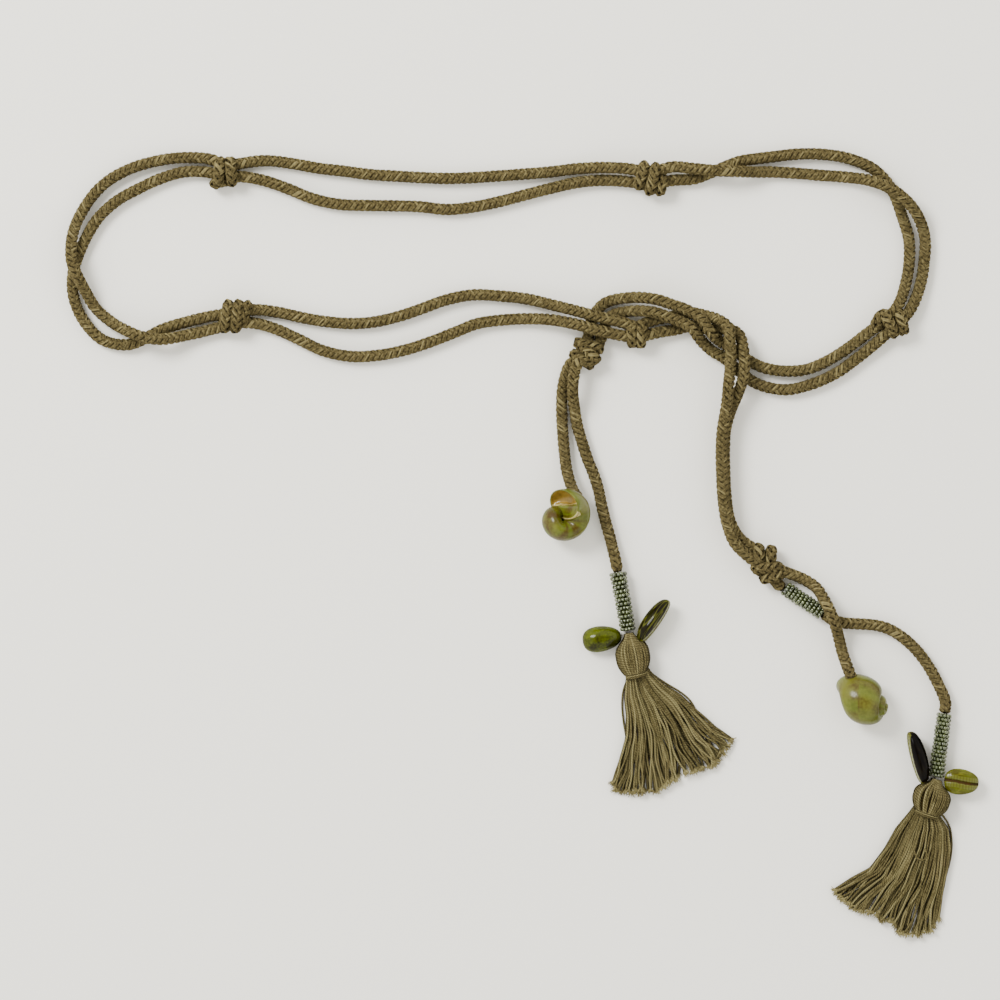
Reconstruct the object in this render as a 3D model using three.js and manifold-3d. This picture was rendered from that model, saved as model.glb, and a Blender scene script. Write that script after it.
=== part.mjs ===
// A rope belt laid flat: two braided ropes run side by side round the waist and are knotted together
// seven times. The ends are crossed in front, and each carries a snail shell, a sleeve of seed beads,
// two cowrie shells and a tassel.
// Millimetres, +Z up. The belt lies on z = 0, X runs to its right and Y to its back, and the origin is
// under the middle of its outline.

import * as THREE from 'three';
import { mergeVertices } from 'three/addons/utils/BufferGeometryUtils.js';
import Module from 'manifold-3d';

const wasm = await Module();
wasm.setup();

// Driving sizes of the ropes and knots
const ROPE_DIAMETER = 5.9;
const GAP = 0.3;                  // between pieces that touch on the real belt
const ROPE_SIDES = 8;
const STEP_LENGTH = 2.2;          // rope diameters from one section of a rope to the next

// Driving sizes of the ornaments
const SLEEVE_SIDES = 12;
const SLEEVE_LEAD = 0.9;          // rope diameters that a rope runs straight beside a sleeve
const HEAD_FACETS = { around: 12, along: 8 };
const GATHER_FACETS = { around: 8, along: 6 };
const SHELL_SIZE = 23.5;          // across the last whorl of a snail shell
const SHELL_WALL = 1.2;
const COWRIE_SLIT = 1.3;
const SKIRT_LENGTH = 57;          // tassel, from the binding to the ends of its threads
const LOCK_WIDTH = 9.5;           // one lock of threads near its end
const LOCK_HEIGHT = 4.2;

// The belt was measured on a board, from its left top corner, x to the right and y down.
// This is the board's point under the middle of the belt.
const BOARD_MIDDLE = { x: 261.1, y: 270.44 };

const ROPE_RADIUS = ROPE_DIAMETER / 2;
const PITCH = ROPE_DIAMETER + GAP; // between the centre lines of two ropes that touch

// A knot's place on the board, how high its middle lies in rope pitches, and how far from its middle
// the ropes that leave it become pieces of their own, in rope diameters.
const KNOTS = {
  back_left: { x: 113, y: 86.5, lift: 0.45, reach: 1.3 },
  back_middle: { x: 325.5, y: 90, lift: 0.45, reach: 1.75 },
  right: { x: 444.5, y: 162, lift: 0.45, reach: 1.75 },
  front: { x: 318, y: 166.6, lift: 0.6, reach: 1.3 },
  left: { x: 118, y: 159, lift: 0.45, reach: 1.85 },
  left_tails: { x: 294, y: 176.5, lift: 0.4, reach: 1.6 },
  right_tails: { x: 383.5, y: 282, lift: 0.45, reach: 2.3 },
};

// The turns of rope that make each knot, as ovals standing across the bundle: how far right and
// back of the knot's middle, the angle that the oval's long axis makes with X in degrees, and half its
// length and height along the rope's centre line. All lengths are in rope diameters.
const WRAP_COLUMNS = ['right', 'back', 'turn', 'halfLength', 'halfHeight'];
const WRAPS = {
  back_left: [
    [-0.5, 0.0, 84, 0.9, 0.5],
    [0.5, 0.05, 96, 0.85, 0.5],
    [-0.55, -0.85, 20, 0.35, 0.3],
  ],
  back_middle: [
    [-0.85, 0.3, 74, 0.85, 0.5],
    [0.1, 0.0, 75, 1.0, 0.55],
    [0.85, -0.5, 75, 0.5, 0.4],
  ],
  right: [
    [-0.1, 0.0, 117, 0.9, 0.55],
    [0.95, 0.15, 104, 0.75, 0.45],
    [-1.0, 0.3, 60, 0.4, 0.35],
  ],
  front: [
    [-0.4, -0.15, 95, 0.72, 0.5],
    [0.4, -0.1, 85, 0.8, 0.5],
  ],
  left: [
    [-0.75, 0.1, 80, 1.0, 0.5],
    [0.15, 0.1, 82, 1.0, 0.55],
    [0.8, 0.4, 70, 0.65, 0.4],
  ],
  left_tails: [
    [0.05, 0.6, -15, 0.95, 0.3],
    [0.05, 0.0, -43, 0.8, 0.5],
    [-0.5, -0.55, -33, 0.8, 0.4],
  ],
  right_tails: [
    [-0.75, 0.75, 90, 0.6, 0.45],
    [0.25, 0.7, 85, 0.5, 0.45],
    [-0.05, -0.3, 4, 0.95, 0.5],
    [0.35, -1.05, 14, 0.65, 0.4],
  ],
};

// The rim of a turn: its flat middle in rope diameters, and its facets.
const WRAP_RIM = { flat: 0.1, curveSegments: 5, bevelSegments: 2 };

// Two ropes that run together from one knot to the next. A row is a place on the line midway between
// them: x and y on the board in millimetres, then how far rope b lies to the right of rope a as one
// goes along, how much higher rope a passes where they cross, and how high both lie above the surface,
// all three in rope pitches.
const PAIR_COLUMNS = ['x', 'y', 'apart', 'over', 'lift'];
const PAIRS = [
  { name: 'back_rope', from: 'back_left', to: 'back_middle', rows: [
    [113, 86.5, 0.8, 0, 0.45],
    [120.5, 85.3, 1.05, 0, 0.1],
    [132.5, 85.5, 1.6, 0, 0],
    [145.4, 88.3, 2.05, 0, 0],
    [158.3, 92.0, 2.5, 0, 0],
    [171.0, 94.1, 2.7, 0, 0],
    [184.3, 95.2, 2.5, 0, 0],
    [197.3, 95.7, 2.4, 0, 0],
    [210.7, 96.3, 2.35, 0, 0],
    [223.6, 97.2, 2.5, 0, 0],
    [236.9, 96.3, 2.35, 0, 0],
    [249.7, 94.5, 2.05, 0, 0],
    [262.9, 92.3, 1.65, 0, 0],
    [275.6, 90.2, 1.3, 0, 0],
    [288.8, 88.0, 1.1, 0.1, 0],
    [301.7, 87.3, 1.0, 0.5, 0],
    [314.0, 88.0, 1.0, 0.5, 0.1],
    [325.5, 90, 0.9, 0.2, 0.4],
  ] },
  { name: 'right_rope', from: 'back_middle', to: 'right', rows: [
    [325.5, 90, 0.8, 0.2, 0.4],
    [336.0, 87.2, 1.05, 0.5, 0.1],
    [346.8, 87.3, 0.75, 1.0, 0],
    [358.0, 85.8, -0.1, 1.2, 0],
    [369.0, 83.8, -0.85, 0.9, 0],
    [378.0, 83.0, -1.1, 0.25, 0],
    [385.1, 82.5, -1.2, 0, 0],
    [398.4, 82.1, -1.55, 0, 0],
    [411.2, 82.7, -1.7, 0, 0],
    [424.0, 84.3, -1.5, 0.1, 0],
    [436.0, 88.2, -1.0, 0.85, 0],
    [446.2, 96.1, 0, 1.25, 0],
    [453.5, 106.8, 1.0, 0.85, 0],
    [458.0, 118.7, 1.3, 0, 0],
    [458.0, 131.4, 1.2, 0, 0],
    [455.6, 144.5, 1.15, 0, 0.05],
    [451.0, 155.0, 1.0, 0, 0.35],
    [444.5, 162, 0.8, 0, 0.45],
  ] },
  { name: 'closing_rope', from: 'right', to: 'left_tails', rows: [
    [444.5, 162, 0.8, 0, 0.45],
    [436.0, 168.8, 1.05, 0, 0.2],
    [426.7, 176.2, 1.1, 0, 0],
    [416.4, 183.2, 1.2, 0, 0],
    [404.6, 188.4, 1.25, 0, 0],
    [392.4, 190.3, 1.5, 0, 0],
    [379.9, 187.9, 1.4, 0, 0],
    [371.0, 182.5, 1.15, 0, 0],
    [363.2, 176.3, 1.0, 0, 0],
    [357.8, 173.2, 1.0, -0.3, 0],
    [353.5, 169.5, 1.0, -0.68, 0.45],
    [350.9, 166.5, 1.0, -0.22, 1.0],
    [348.0, 162.3, 1.05, 0, 1.24],
    [341.5, 158.3, 1.05, 0, 1.3],
    [334.5, 155.8, 1.05, 0, 1.3],
    [326.9, 153.3, 1.05, 0, 1.2],
    [314.8, 152.4, 1.1, 0, 0.3],
    [303.5, 155.2, 1.15, 0, 0],
    [298.8, 162.5, 1.15, 0, 0],
    [297.0, 169.8, 1.0, 0, 0.05],
    [294, 176.5, 0.8, 0, 0.4],
  ] },
  { name: 'left_rope', from: 'back_left', to: 'left', rows: [
    [113, 86.5, -0.8, 0, 0.45],
    [105.5, 83.3, -1.05, 0, 0.15],
    [92.7, 82.6, -1.15, 0, 0],
    [79.6, 85.1, -1.45, 0, 0],
    [66.8, 89.9, -1.75, 0, 0],
    [55.3, 96.6, -1.7, 0, 0],
    [46.2, 106.3, -1.4, 0, 0],
    [40.2, 118.1, -1.05, 0.6, 0],
    [37.6, 130.5, -0.3, 1.2, 0],
    [38.0, 138.0, 0.45, 1.2, 0],
    [40.0, 146.5, 1.05, 0.6, 0],
    [44.6, 156.5, 1.35, 0, 0],
    [53.8, 165.6, 1.6, 0.1, 0],
    [64.5, 169.3, 1.05, 0.85, 0],
    [72.5, 169.2, 0.1, 1.25, 0],
    [81.0, 167.6, -0.8, 1.0, 0],
    [92.9, 164.6, -1.05, 0.3, 0],
    [105.5, 161.6, -1.05, 0, 0.15],
    [118, 159, -0.8, 0, 0.45],
  ] },
  { name: 'front_rope', from: 'left', to: 'front', rows: [
    [118, 159, 0.8, 0, 0.45],
    [128.0, 158.4, 1.1, 0, 0.1],
    [138.7, 160.4, 1.35, 0, 0],
    [150.6, 164.3, 1.75, 0, 0],
    [162.9, 168.2, 2.35, 0, 0],
    [175.8, 170.1, 2.65, 0, 0],
    [188.3, 169.4, 2.7, 0, 0],
    [201.1, 166.7, 2.75, 0, 0],
    [213.0, 162.8, 2.75, 0, 0],
    [225.2, 158.2, 2.7, 0, 0],
    [237.3, 154.8, 2.35, 0, 0],
    [250.2, 154.2, 1.95, 0, 0],
    [263.2, 154.6, 1.6, 0, 0.1],
    [275.6, 156.4, 1.2, 0, 0.5],
    [288.3, 159.3, 1.05, 0, 1.1],
    [300.4, 162.6, 1.05, 0, 1.2],
    [309.5, 164.6, 1.05, 0, 0.95],
    [318, 166.6, 0.8, 0, 0.6],
  ] },
  { name: 'hanging_rope', from: 'front', to: 'right_tails', rows: [
    [318, 166.6, 0.8, 0, 0.6],
    [327.5, 163.4, 1.05, 0, 0.2],
    [337.0, 161.6, 1.1, 0, 0],
    [345.9, 159.8, 1.05, 0, 0],
    [352.5, 161.3, 1.05, 0.25, 0],
    [358.9, 162.8, 0.75, 0.92, 0],
    [363.7, 164.5, 0, 1.25, 0.22],
    [366.7, 168.6, -0.88, 1.03, 0.52],
    [367.7, 173.5, -1.02, 0.4, 0.95],
    [368.2, 180.0, -1.08, 0, 1.28],
    [367.8, 187.5, -1.13, 0, 1.25],
    [366.0, 196.0, -0.88, 0.9, 0.85],
    [363.8, 205.0, -0.45, 1.0, 0.2],
    [361.8, 214.0, -0.3, 1.1, 0],
    [361.1, 224.0, -0.3, 1.1, 0],
    [361.2, 234.0, -0.3, 1.1, 0],
    [361.6, 244.0, -0.3, 1.1, 0],
    [362.4, 253.0, -0.3, 1.1, 0],
    [364.2, 262.0, -0.35, 1.05, 0.05],
    [368.5, 270.5, -0.6, 0.9, 0.15],
    [375.5, 276.5, -0.8, 0.6, 0.3],
    [383.5, 282.0, -0.8, 0, 0.45],
  ] },
];

// The single ropes at the ends of the belt. A row is x and y on the board in millimetres and how high
// the rope lies in rope pitches.
const TAIL_COLUMNS = ['x', 'y', 'lift'];
const TAILS = [
  { name: 'tail_to_left_shell', from: 'left_tails', rows: [
    [294, 176.5, 0.4],
    [285.6, 181.6, 0.1],
    [282.6, 188.0, 0],
    [281.2, 195.0, 0],
    [280.8, 203.0, 0],
    [281.0, 211.0, 0],
    [281.5, 219.0, 0],
    [282.2, 226.7, 0],
    [283.2, 234.5, 0.1],
    [284.6, 240.0, 0.4],
    [286.6, 245.8, 0.8],
  ] },
  { name: 'tail_to_left_tassel', from: 'left_tails', into: 'left', rows: [
    [294, 176.5, 0.4],
    [288.2, 183.0, 1.0],
    [286.6, 189.5, 1.15],
    [286.2, 196.5, 0.9],
    [287.2, 204.5, 0.2],
    [288.6, 213.0, 0],
    [290.8, 220.5, 0],
    [293.5, 229.0, 0],
    [296.7, 237.0, 0],
    [299.2, 245.0, 0],
    [300.6, 252.0, 0],
    [302.8, 261.0, 0],
    [305.0, 269.0, 0],
    [306.6, 275.5, 0.1],
  ] },
  { name: 'tail_to_right_shell', from: 'right_tails', rows: [
    [383.5, 282, 0.45],
    [391.5, 285.6, 0.3],
    [397.6, 287.8, 0.1],
    [403.2, 290.4, 0.1],
    [408.0, 294.0, 0.5],
    [411.3, 299.4, 1.0],
    [414.2, 305.2, 1.35],
    [416.6, 311.6, 1.3],
    [418.9, 318.5, 0.4],
    [420.6, 325.0, 0.1],
    [422.6, 331.5, 0.5],
    [424.0, 335.6, 0.9],
  ] },
  { name: 'tail_to_right_beads', from: 'right_tails', into: 'right_upper', partOfKnot: true, rows: [
    [383.5, 282, 0.45],
    [387.0, 288.0, 0.3],
  ] },
  { name: 'tail_to_right_tassel', outOf: 'right_upper', into: 'right_lower', rows: [
    [420.5, 311.2, 0],
    [426.0, 311.7, 0],
    [432.0, 312.0, 0],
    [438.5, 312.7, 0],
    [445.0, 314.8, 0],
    [451.0, 318.6, 0],
    [457.5, 324.5, 0],
    [463.6, 332.5, 0],
    [468.8, 342.0, 0.05],
  ] },
];

// Sleeves of seed beads on the tails: the board's points at the middle of both ends, and the diameters
// there.
const SLEEVE_COLUMNS = ['x0', 'y0', 'x1', 'y1', 'startDiameter', 'endDiameter'];
const SLEEVES = {
  left: [308.75, 286.0, 313.9, 315.2, 8.4, 7.4],
  right_upper: [392.0, 294.0, 411.0, 306.5, 7.4, 7.4],
  right_lower: [471.75, 356.5, 467.75, 388.3, 7.4, 7.6],
};

// The middle of a snail shell's back edge on the board, where its rope comes in, its size as a share of
// SHELL_SIZE, and how it lies: spin about its own axis, tip of the axis away from straight down, and
// the heading of that tip on the board.
const SHELLS = {
  left: { x: 282.9, y: 244.6, share: 1.15, spin: 284, tip: 35, heading: 180, colour: 0x7a8238 },
  right: { x: 430.6, y: 336.1, share: 1.11, spin: 90, tip: 106, heading: -10, colour: 0x80802f },
};

// A cowrie's place on the board, its length, width and height, the angle of its length with X, how
// far it is rolled about its length, and how high its middle lies as a share of its width.
const COWRIE_COLUMNS = ['x', 'y', 'length', 'width', 'height', 'turn', 'roll'];
const COWRIES = {
  left_flat: [300.9, 319.5, 19.4, 12.8, 9.5, 8, 0],
  left_edge: [326.6, 310.4, 23.0, 13.5, 9.0, 60, 90],
  right_edge: [458.4, 378.4, 25.5, 13.5, 9.0, 104, -90],
  right_open: [480.1, 390.4, 17.2, 12.8, 9.0, -5, 180],
};

// A tassel's head and the way that it points, the gather above it where the cord comes in, the binding
// below it, and a row for each lock of its skirt: the lock's angle from straight down the board, its
// length as a share of SKIRT_LENGTH and its bend.
const TASSELS = {
  left: {
    head: { x: 315.9, y: 328.4, length: 19.0, width: 17.4, height: 13.0, turn: 12.5 },
    gather: { x: 314.7, y: 318.8, length: 6.2, width: 8.0, height: 7.6 },
    binding: { x: 319.2, y: 340.2, length: 11.0, width: 11.0, height: 9.0 },
    locks: [
      [-11, 0.96, 4.5], [-4, 0.98, 2.0], [4, 0.99, 1.0], [12, 0.97, 0.5], [20, 0.95, 0],
      [28, 0.96, -0.5], [36, 0.98, -0.5], [44, 1.0, -1.0], [52, 0.98, -1.5],
    ],
  },
  right: {
    head: { x: 465.2, y: 399.2, length: 16.6, width: 19.4, height: 13.0, turn: -18 },
    gather: { x: 467.1, y: 391.7, length: 6.0, width: 8.0, height: 7.6 },
    binding: { x: 461.2, y: 409.4, length: 12.0, width: 12.0, height: 9.0 },
    locks: [
      [-47, 0.96, 3.0], [-40, 0.97, 2.0], [-33, 0.98, 1.0], [-26, 0.96, 0.5], [-19, 0.95, 0],
      [-12, 0.98, -0.5], [-5.5, 1.0, -1.5], [2, 0.99, -4.0], [9, 0.92, -8.0],
    ],
  },
};

const COLOURS = { rope: 0x6f6440, beads: 0x5a7048, cowrie: 0x6b7a2a, tassel: 0x6e6238 };

const radians = (degrees) => degrees * Math.PI / 180;

function namedRow(columns, row) {
  return Object.fromEntries(columns.map((column, i) => [column, row[i]]));
}

// A point of the board, at a height above the surface, in the belt's own frame.
function onBoard(x, y, z = 0) {
  return new THREE.Vector3(x - BOARD_MIDDLE.x, BOARD_MIDDLE.y - y, z);
}

function ropeHeight(lift) {
  return ROPE_RADIUS + lift * PITCH;
}

// Solids: closed meshes in and out of manifold-3d
function solidOf(geometry) {
  const bare = geometry.index ? geometry.clone() : geometry;
  bare.deleteAttribute('normal');
  bare.deleteAttribute('uv');
  const merged = mergeVertices(bare, 1e-5);
  return new wasm.Manifold(new wasm.Mesh({
    numProp: 3,
    vertProperties: new Float32Array(merged.attributes.position.array),
    triVerts: new Uint32Array(merged.index.array),
  }));
}

function geometryOf(solid) {
  const mesh = solid.getMesh();
  const geometry = new THREE.BufferGeometry();
  geometry.setAttribute('position', new THREE.BufferAttribute(mesh.vertProperties, 3));
  geometry.setIndex(new THREE.BufferAttribute(mesh.triVerts, 1));
  return geometry;
}

function fuse(geometries) {
  return geometries.map(solidOf).reduce((sum, solid) => sum.add(solid));
}

// A closed body through rings of points, each ring with the same number of points and seen
// anticlockwise from the next one.
function loft(rings) {
  const sides = rings[0].length;
  const middleOf = (ring) => ring.reduce((sum, p) => sum.add(p), new THREE.Vector3()).divideScalar(sides);
  const points = [...rings.flat(), middleOf(rings[0]), middleOf(rings.at(-1))];
  const faces = [];
  for (let i = 0; i < rings.length - 1; i++) {
    for (let j = 0; j < sides; j++) {
      const k = (j + 1) % sides;
      const [a, b, c, d] = [i * sides + j, i * sides + k, (i + 1) * sides + j, (i + 1) * sides + k];
      faces.push(a, b, c, b, d, c);
    }
  }
  const first = points.length - 2;
  const last = points.length - 1;
  const lastRing = (rings.length - 1) * sides;
  for (let j = 0; j < sides; j++) {
    const k = (j + 1) % sides;
    faces.push(first, k, j, last, lastRing + j, lastRing + k);
  }
  const geometry = new THREE.BufferGeometry().setFromPoints(points);
  geometry.setIndex(faces);
  return geometry;
}

// The rope's section: a polygon whose flats touch the rope's diameter, one of them facing down.
function ropeSection(sides, radius = ROPE_RADIUS) {
  const corner = radius / Math.cos(Math.PI / sides);
  const points = [];
  for (let i = 0; i < sides; i++) {
    const angle = (i + 0.5) / sides * 2 * Math.PI;
    points.push(new THREE.Vector2(corner * Math.cos(angle), corner * Math.sin(angle)));
  }
  return new THREE.Shape(points);
}

// Part of a rope's curve, between two distances along it. It never dips below the surface, and its
// section keeps one flat facing down.
class Stretch extends THREE.Curve {
  constructor(curve, start, end) {
    super();
    this.curve = curve;
    this.start = start;
    this.end = end;
    this.length = end - start;
  }

  getPoint(t, target = new THREE.Vector3()) {
    const distance = this.start + this.length * t;
    this.curve.getPointAt(THREE.MathUtils.clamp(distance / this.curve.getLength(), 0, 1), target);
    return target.setZ(Math.max(target.z, ROPE_RADIUS));
  }

  computeFrenetFrames(segments) {
    const frames = { tangents: [], normals: [], binormals: [] };
    for (let i = 0; i <= segments; i++) {
      const tangent = this.getTangentAt(i / segments);
      const level = new THREE.Vector3(0, 0, 1).cross(tangent).normalize();
      frames.tangents.push(tangent);
      frames.normals.push(level.clone().cross(tangent));
      frames.binormals.push(level);
    }
    return frames;
  }
}

function ropeTube(stretch) {
  const steps = Math.max(1, Math.round(stretch.length / (STEP_LENGTH * ROPE_DIAMETER)));
  return new THREE.ExtrudeGeometry(ropeSection(ROPE_SIDES), { steps, extrudePath: stretch });
}

function smoothCurve(points) {
  const curve = new THREE.CatmullRomCurve3(points, false, 'centripetal');
  curve.arcLengthDivisions = 40 * points.length;
  return curve;
}

// The centre lines of rope a and rope b of a pair.
function pairCurves(pair) {
  const rows = pair.rows.map((row) => namedRow(PAIR_COLUMNS, row));
  const middles = rows.map((row) => onBoard(row.x, row.y));
  const lineOf = (side) => smoothCurve(rows.map((row, i) => {
    const ahead = middles[Math.min(i + 1, rows.length - 1)];
    const behind = middles[Math.max(i - 1, 0)];
    const along = ahead.clone().sub(behind).normalize();
    const toLeft = new THREE.Vector3(-along.y, along.x, 0);
    const higher = Math.max(0, side * row.over);
    const point = middles[i].clone().addScaledVector(toLeft, side * row.apart * PITCH / 2);
    return point.setZ(ropeHeight(row.lift + higher));
  }));
  return { a: lineOf(1), b: lineOf(-1) };
}

// Both ends of a sleeve's axis.
function sleeveEnds(name) {
  const sleeve = namedRow(SLEEVE_COLUMNS, SLEEVES[name]);
  const start = onBoard(sleeve.x0, sleeve.y0, sleeve.startDiameter / 2);
  const end = onBoard(sleeve.x1, sleeve.y1, sleeve.endDiameter / 2);
  return { start, end, along: end.clone().sub(start).normalize() };
}

// The centre line of a tail. Where it runs into or out of a sleeve, it lines up with the sleeve's axis.
function tailCurve(tail) {
  const rows = tail.rows.map((row) => namedRow(TAIL_COLUMNS, row));
  const points = rows.map((row) => onBoard(row.x, row.y, ropeHeight(row.lift)));
  if (tail.outOf) {
    const { end, along } = sleeveEnds(tail.outOf);
    points.unshift(end, end.clone().addScaledVector(along, SLEEVE_LEAD * ROPE_DIAMETER));
  }
  if (tail.into) {
    const { start, along } = sleeveEnds(tail.into);
    points.push(start.clone().addScaledVector(along, -SLEEVE_LEAD * ROPE_DIAMETER), start);
  }
  return smoothCurve(points);
}

// The distance along a curve at which it has left, or from its far end will reach, a knot.
function reachOf(knotName) {
  return KNOTS[knotName].reach * ROPE_DIAMETER;
}

// The ropes: each becomes one piece between its knots, and its two ends become part of the knots.
const ropes = [];
const stubs = Object.fromEntries(Object.keys(KNOTS).map((name) => [name, []]));

function addRope(name, curve, from, to) {
  const length = curve.getLength();
  let start = GAP;
  let end = length - GAP;
  if (from) {
    start = reachOf(from) + GAP;
    stubs[from].push(ropeTube(new Stretch(curve, 0, reachOf(from))));
  }
  if (to) {
    end = length - reachOf(to) - GAP;
    stubs[to].push(ropeTube(new Stretch(curve, length - reachOf(to), length)));
  }
  ropes.push({ name, stretch: new Stretch(curve, start, end) });
}

for (const pair of PAIRS) {
  const { a, b } = pairCurves(pair);
  addRope(`${pair.name}_a`, a, pair.from, pair.to);
  addRope(`${pair.name}_b`, b, pair.from, pair.to);
}
for (const tail of TAILS) {
  const curve = tailCurve(tail);
  if (tail.partOfKnot) stubs[tail.from].push(ropeTube(new Stretch(curve, 0, curve.getLength() - GAP)));
  else addRope(tail.name, curve, tail.from);
}

// One turn of rope round the others that it holds: a filled oval with a round rim, standing on its
// long side.
function wrapBody(wrap) {
  const halfHeight = wrap.halfHeight * ROPE_DIAMETER;
  const oval = new THREE.Shape().absellipse(0, 0, wrap.halfLength * ROPE_DIAMETER, halfHeight, 0, 2 * Math.PI);
  const depth = WRAP_RIM.flat * ROPE_DIAMETER;
  const body = new THREE.ExtrudeGeometry(oval, {
    depth,
    curveSegments: WRAP_RIM.curveSegments,
    bevelSize: ROPE_RADIUS,
    bevelThickness: ROPE_RADIUS,
    bevelSegments: WRAP_RIM.bevelSegments,
  });
  return body.translate(0, 0, -depth / 2).rotateX(Math.PI / 2).translate(0, 0, halfHeight + ROPE_RADIUS);
}

function knotBody(name) {
  const knot = KNOTS[name];
  const middle = onBoard(knot.x, knot.y);
  const wraps = WRAPS[name].map((row) => namedRow(WRAP_COLUMNS, row));
  const inPlace = (geometry, wrap) => geometry
    .rotateZ(radians(wrap.turn))
    .translate(wrap.right * ROPE_DIAMETER, wrap.back * ROPE_DIAMETER, 0)
    .translate(middle.x, middle.y, 0);
  const turns = wraps.map((wrap) => inPlace(wrapBody(wrap), wrap));
  return geometryOf(fuse([...turns, ...stubs[name]]));
}

// A sleeve of seed beads over the rope, which is squeezed thin inside it: one tapered round body.
function sleeveBody(name) {
  const sleeve = namedRow(SLEEVE_COLUMNS, SLEEVES[name]);
  const { start, end, along } = sleeveEnds(name);
  const length = start.distanceTo(end);
  const edge = 0.08 * sleeve.startDiameter;
  const profile = [
    new THREE.Vector2(0, 0),
    new THREE.Vector2(sleeve.startDiameter / 2 - edge, 0),
    new THREE.Vector2(sleeve.startDiameter / 2, edge),
    new THREE.Vector2(sleeve.endDiameter / 2, length - edge),
    new THREE.Vector2(sleeve.endDiameter / 2 - edge, length),
    new THREE.Vector2(0, length),
  ];
  const body = new THREE.LatheGeometry(profile, SLEEVE_SIDES);
  const upright = new THREE.Quaternion().setFromUnitVectors(new THREE.Vector3(0, 1, 0), along);
  return body.applyQuaternion(upright).translate(start.x, start.y, start.z);
}

// A snail shell: whorls with oval sections that widen as they wind down the axis from the tip, all in
// one skin seen from a point on the axis. Lengths are shares of the shell's size, and turns are counted
// from the mouth back to the tip.
const SHELL_SHAPE = {
  turns: 3,
  widening: 2.2,        // times wider after each turn
  mouthRadius: 0.29,
  mouthOffset: 0.3,     // mouth's middle from the axis
  mouthDrop: 0.72,      // mouth's middle below the tip
  sectionHeight: 1.25,  // height of a section over its width
  middle: 0.6,          // the point on the axis below the tip
  core: 0.13,           // least distance from that point to the skin
  around: 15,
  along: 10,
  lip: 8,               // degrees in which the mouth's edge falls to the whorl before it
  hollowTurns: [-0.2, -0.13, -0.06, 0.03],
  hollowSides: 9,
};

// A section of the whorl, some turns beyond the mouth: the middle's distance from the axis and below
// the tip, and the radius.
function whorlAt(size, turn) {
  const growth = size * SHELL_SHAPE.widening ** turn;
  return {
    offset: SHELL_SHAPE.mouthOffset * growth,
    drop: SHELL_SHAPE.mouthDrop * growth,
    radius: SHELL_SHAPE.mouthRadius * growth,
  };
}

// The distance from the middle to the skin, at a steepness from the axis, through the whorls that lie
// at one side of it.
function skinDistance(size, turn, steepness) {
  const outward = Math.sin(steepness);
  const up = Math.cos(steepness);
  let distance = SHELL_SHAPE.core * size;
  for (let back = 0; back < SHELL_SHAPE.turns; back++) {
    const { offset, drop, radius } = whorlAt(size, turn - back);
    const height = radius * SHELL_SHAPE.sectionHeight;
    const rise = drop - SHELL_SHAPE.middle * size;
    const a = (outward / radius) ** 2 + (up / height) ** 2;
    const b = -(offset * outward / radius ** 2 + rise * up / height ** 2);
    const c = (offset / radius) ** 2 + (rise / height) ** 2 - 1;
    if (b * b > a * c) distance = Math.max(distance, (-b + Math.sqrt(b * b - a * c)) / a);
  }
  return distance;
}

function shellSkin(size) {
  const { around, along, lip, middle } = SHELL_SHAPE;
  const rings = [];
  for (let i = 1; i < along; i++) {
    const steepness = Math.PI * (1 - i / along);
    const ring = [];
    for (let j = 0; j < around; j++) {
      const angle = j === 0 ? 0 : radians(lip + (360 - lip) * (j - 1) / (around - 1));
      const turn = j === 0 ? 0 : angle / (2 * Math.PI) - 1;
      const distance = skinDistance(size, turn, steepness);
      const fromAxis = distance * Math.sin(steepness);
      const height = middle * size + distance * Math.cos(steepness);
      ring.push(new THREE.Vector3(fromAxis * Math.cos(angle), fromAxis * Math.sin(angle), height));
    }
    rings.push(ring);
  }
  return loft(rings);
}

// The hollow behind the mouth.
function shellHollow(size) {
  const { hollowTurns, hollowSides, sectionHeight } = SHELL_SHAPE;
  return loft(hollowTurns.map((turn) => {
    const { offset, drop, radius } = whorlAt(size, turn);
    const angle = 2 * Math.PI * turn;
    const ring = [];
    for (let j = 0; j < hollowSides; j++) {
      const side = 2 * Math.PI * j / hollowSides;
      const fromAxis = offset + (radius - SHELL_WALL) * Math.cos(side);
      const height = drop - (radius - SHELL_WALL) * sectionHeight * Math.sin(side);
      ring.push(new THREE.Vector3(fromAxis * Math.cos(angle), fromAxis * Math.sin(angle), height));
    }
    return ring;
  }));
}

function shellBody(name) {
  const place = SHELLS[name];
  const size = SHELL_SIZE * place.share;
  const body = solidOf(shellSkin(size)).subtract(solidOf(shellHollow(size)));
  const lying = geometryOf(body)
    .rotateZ(radians(place.spin))
    .rotateY(radians(-place.tip))
    .rotateZ(radians(place.heading));
  return standAt(lying, place.x, place.y, 1);
}

// Moves a body so that it stands on the surface with the middle of its outline at a board point, or
// with a point nearer its back edge there: back is 1 for that edge itself.
function standAt(geometry, x, y, back = 0) {
  geometry.computeBoundingBox();
  const { min, max } = geometry.boundingBox;
  const place = onBoard(x, y);
  const own = (min.y + max.y) / 2 + back * (max.y - min.y) / 2;
  return geometry.translate(place.x - (min.x + max.x) / 2, place.y - own, -min.z);
}

// A cowrie: an egg with a flattened belly, narrower at one end, and a slit along the belly.
const COWRIE_SHAPE = { around: 12, along: 7, belly: 0.42, narrowing: 0.16, slitDepth: 0.3 };

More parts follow.
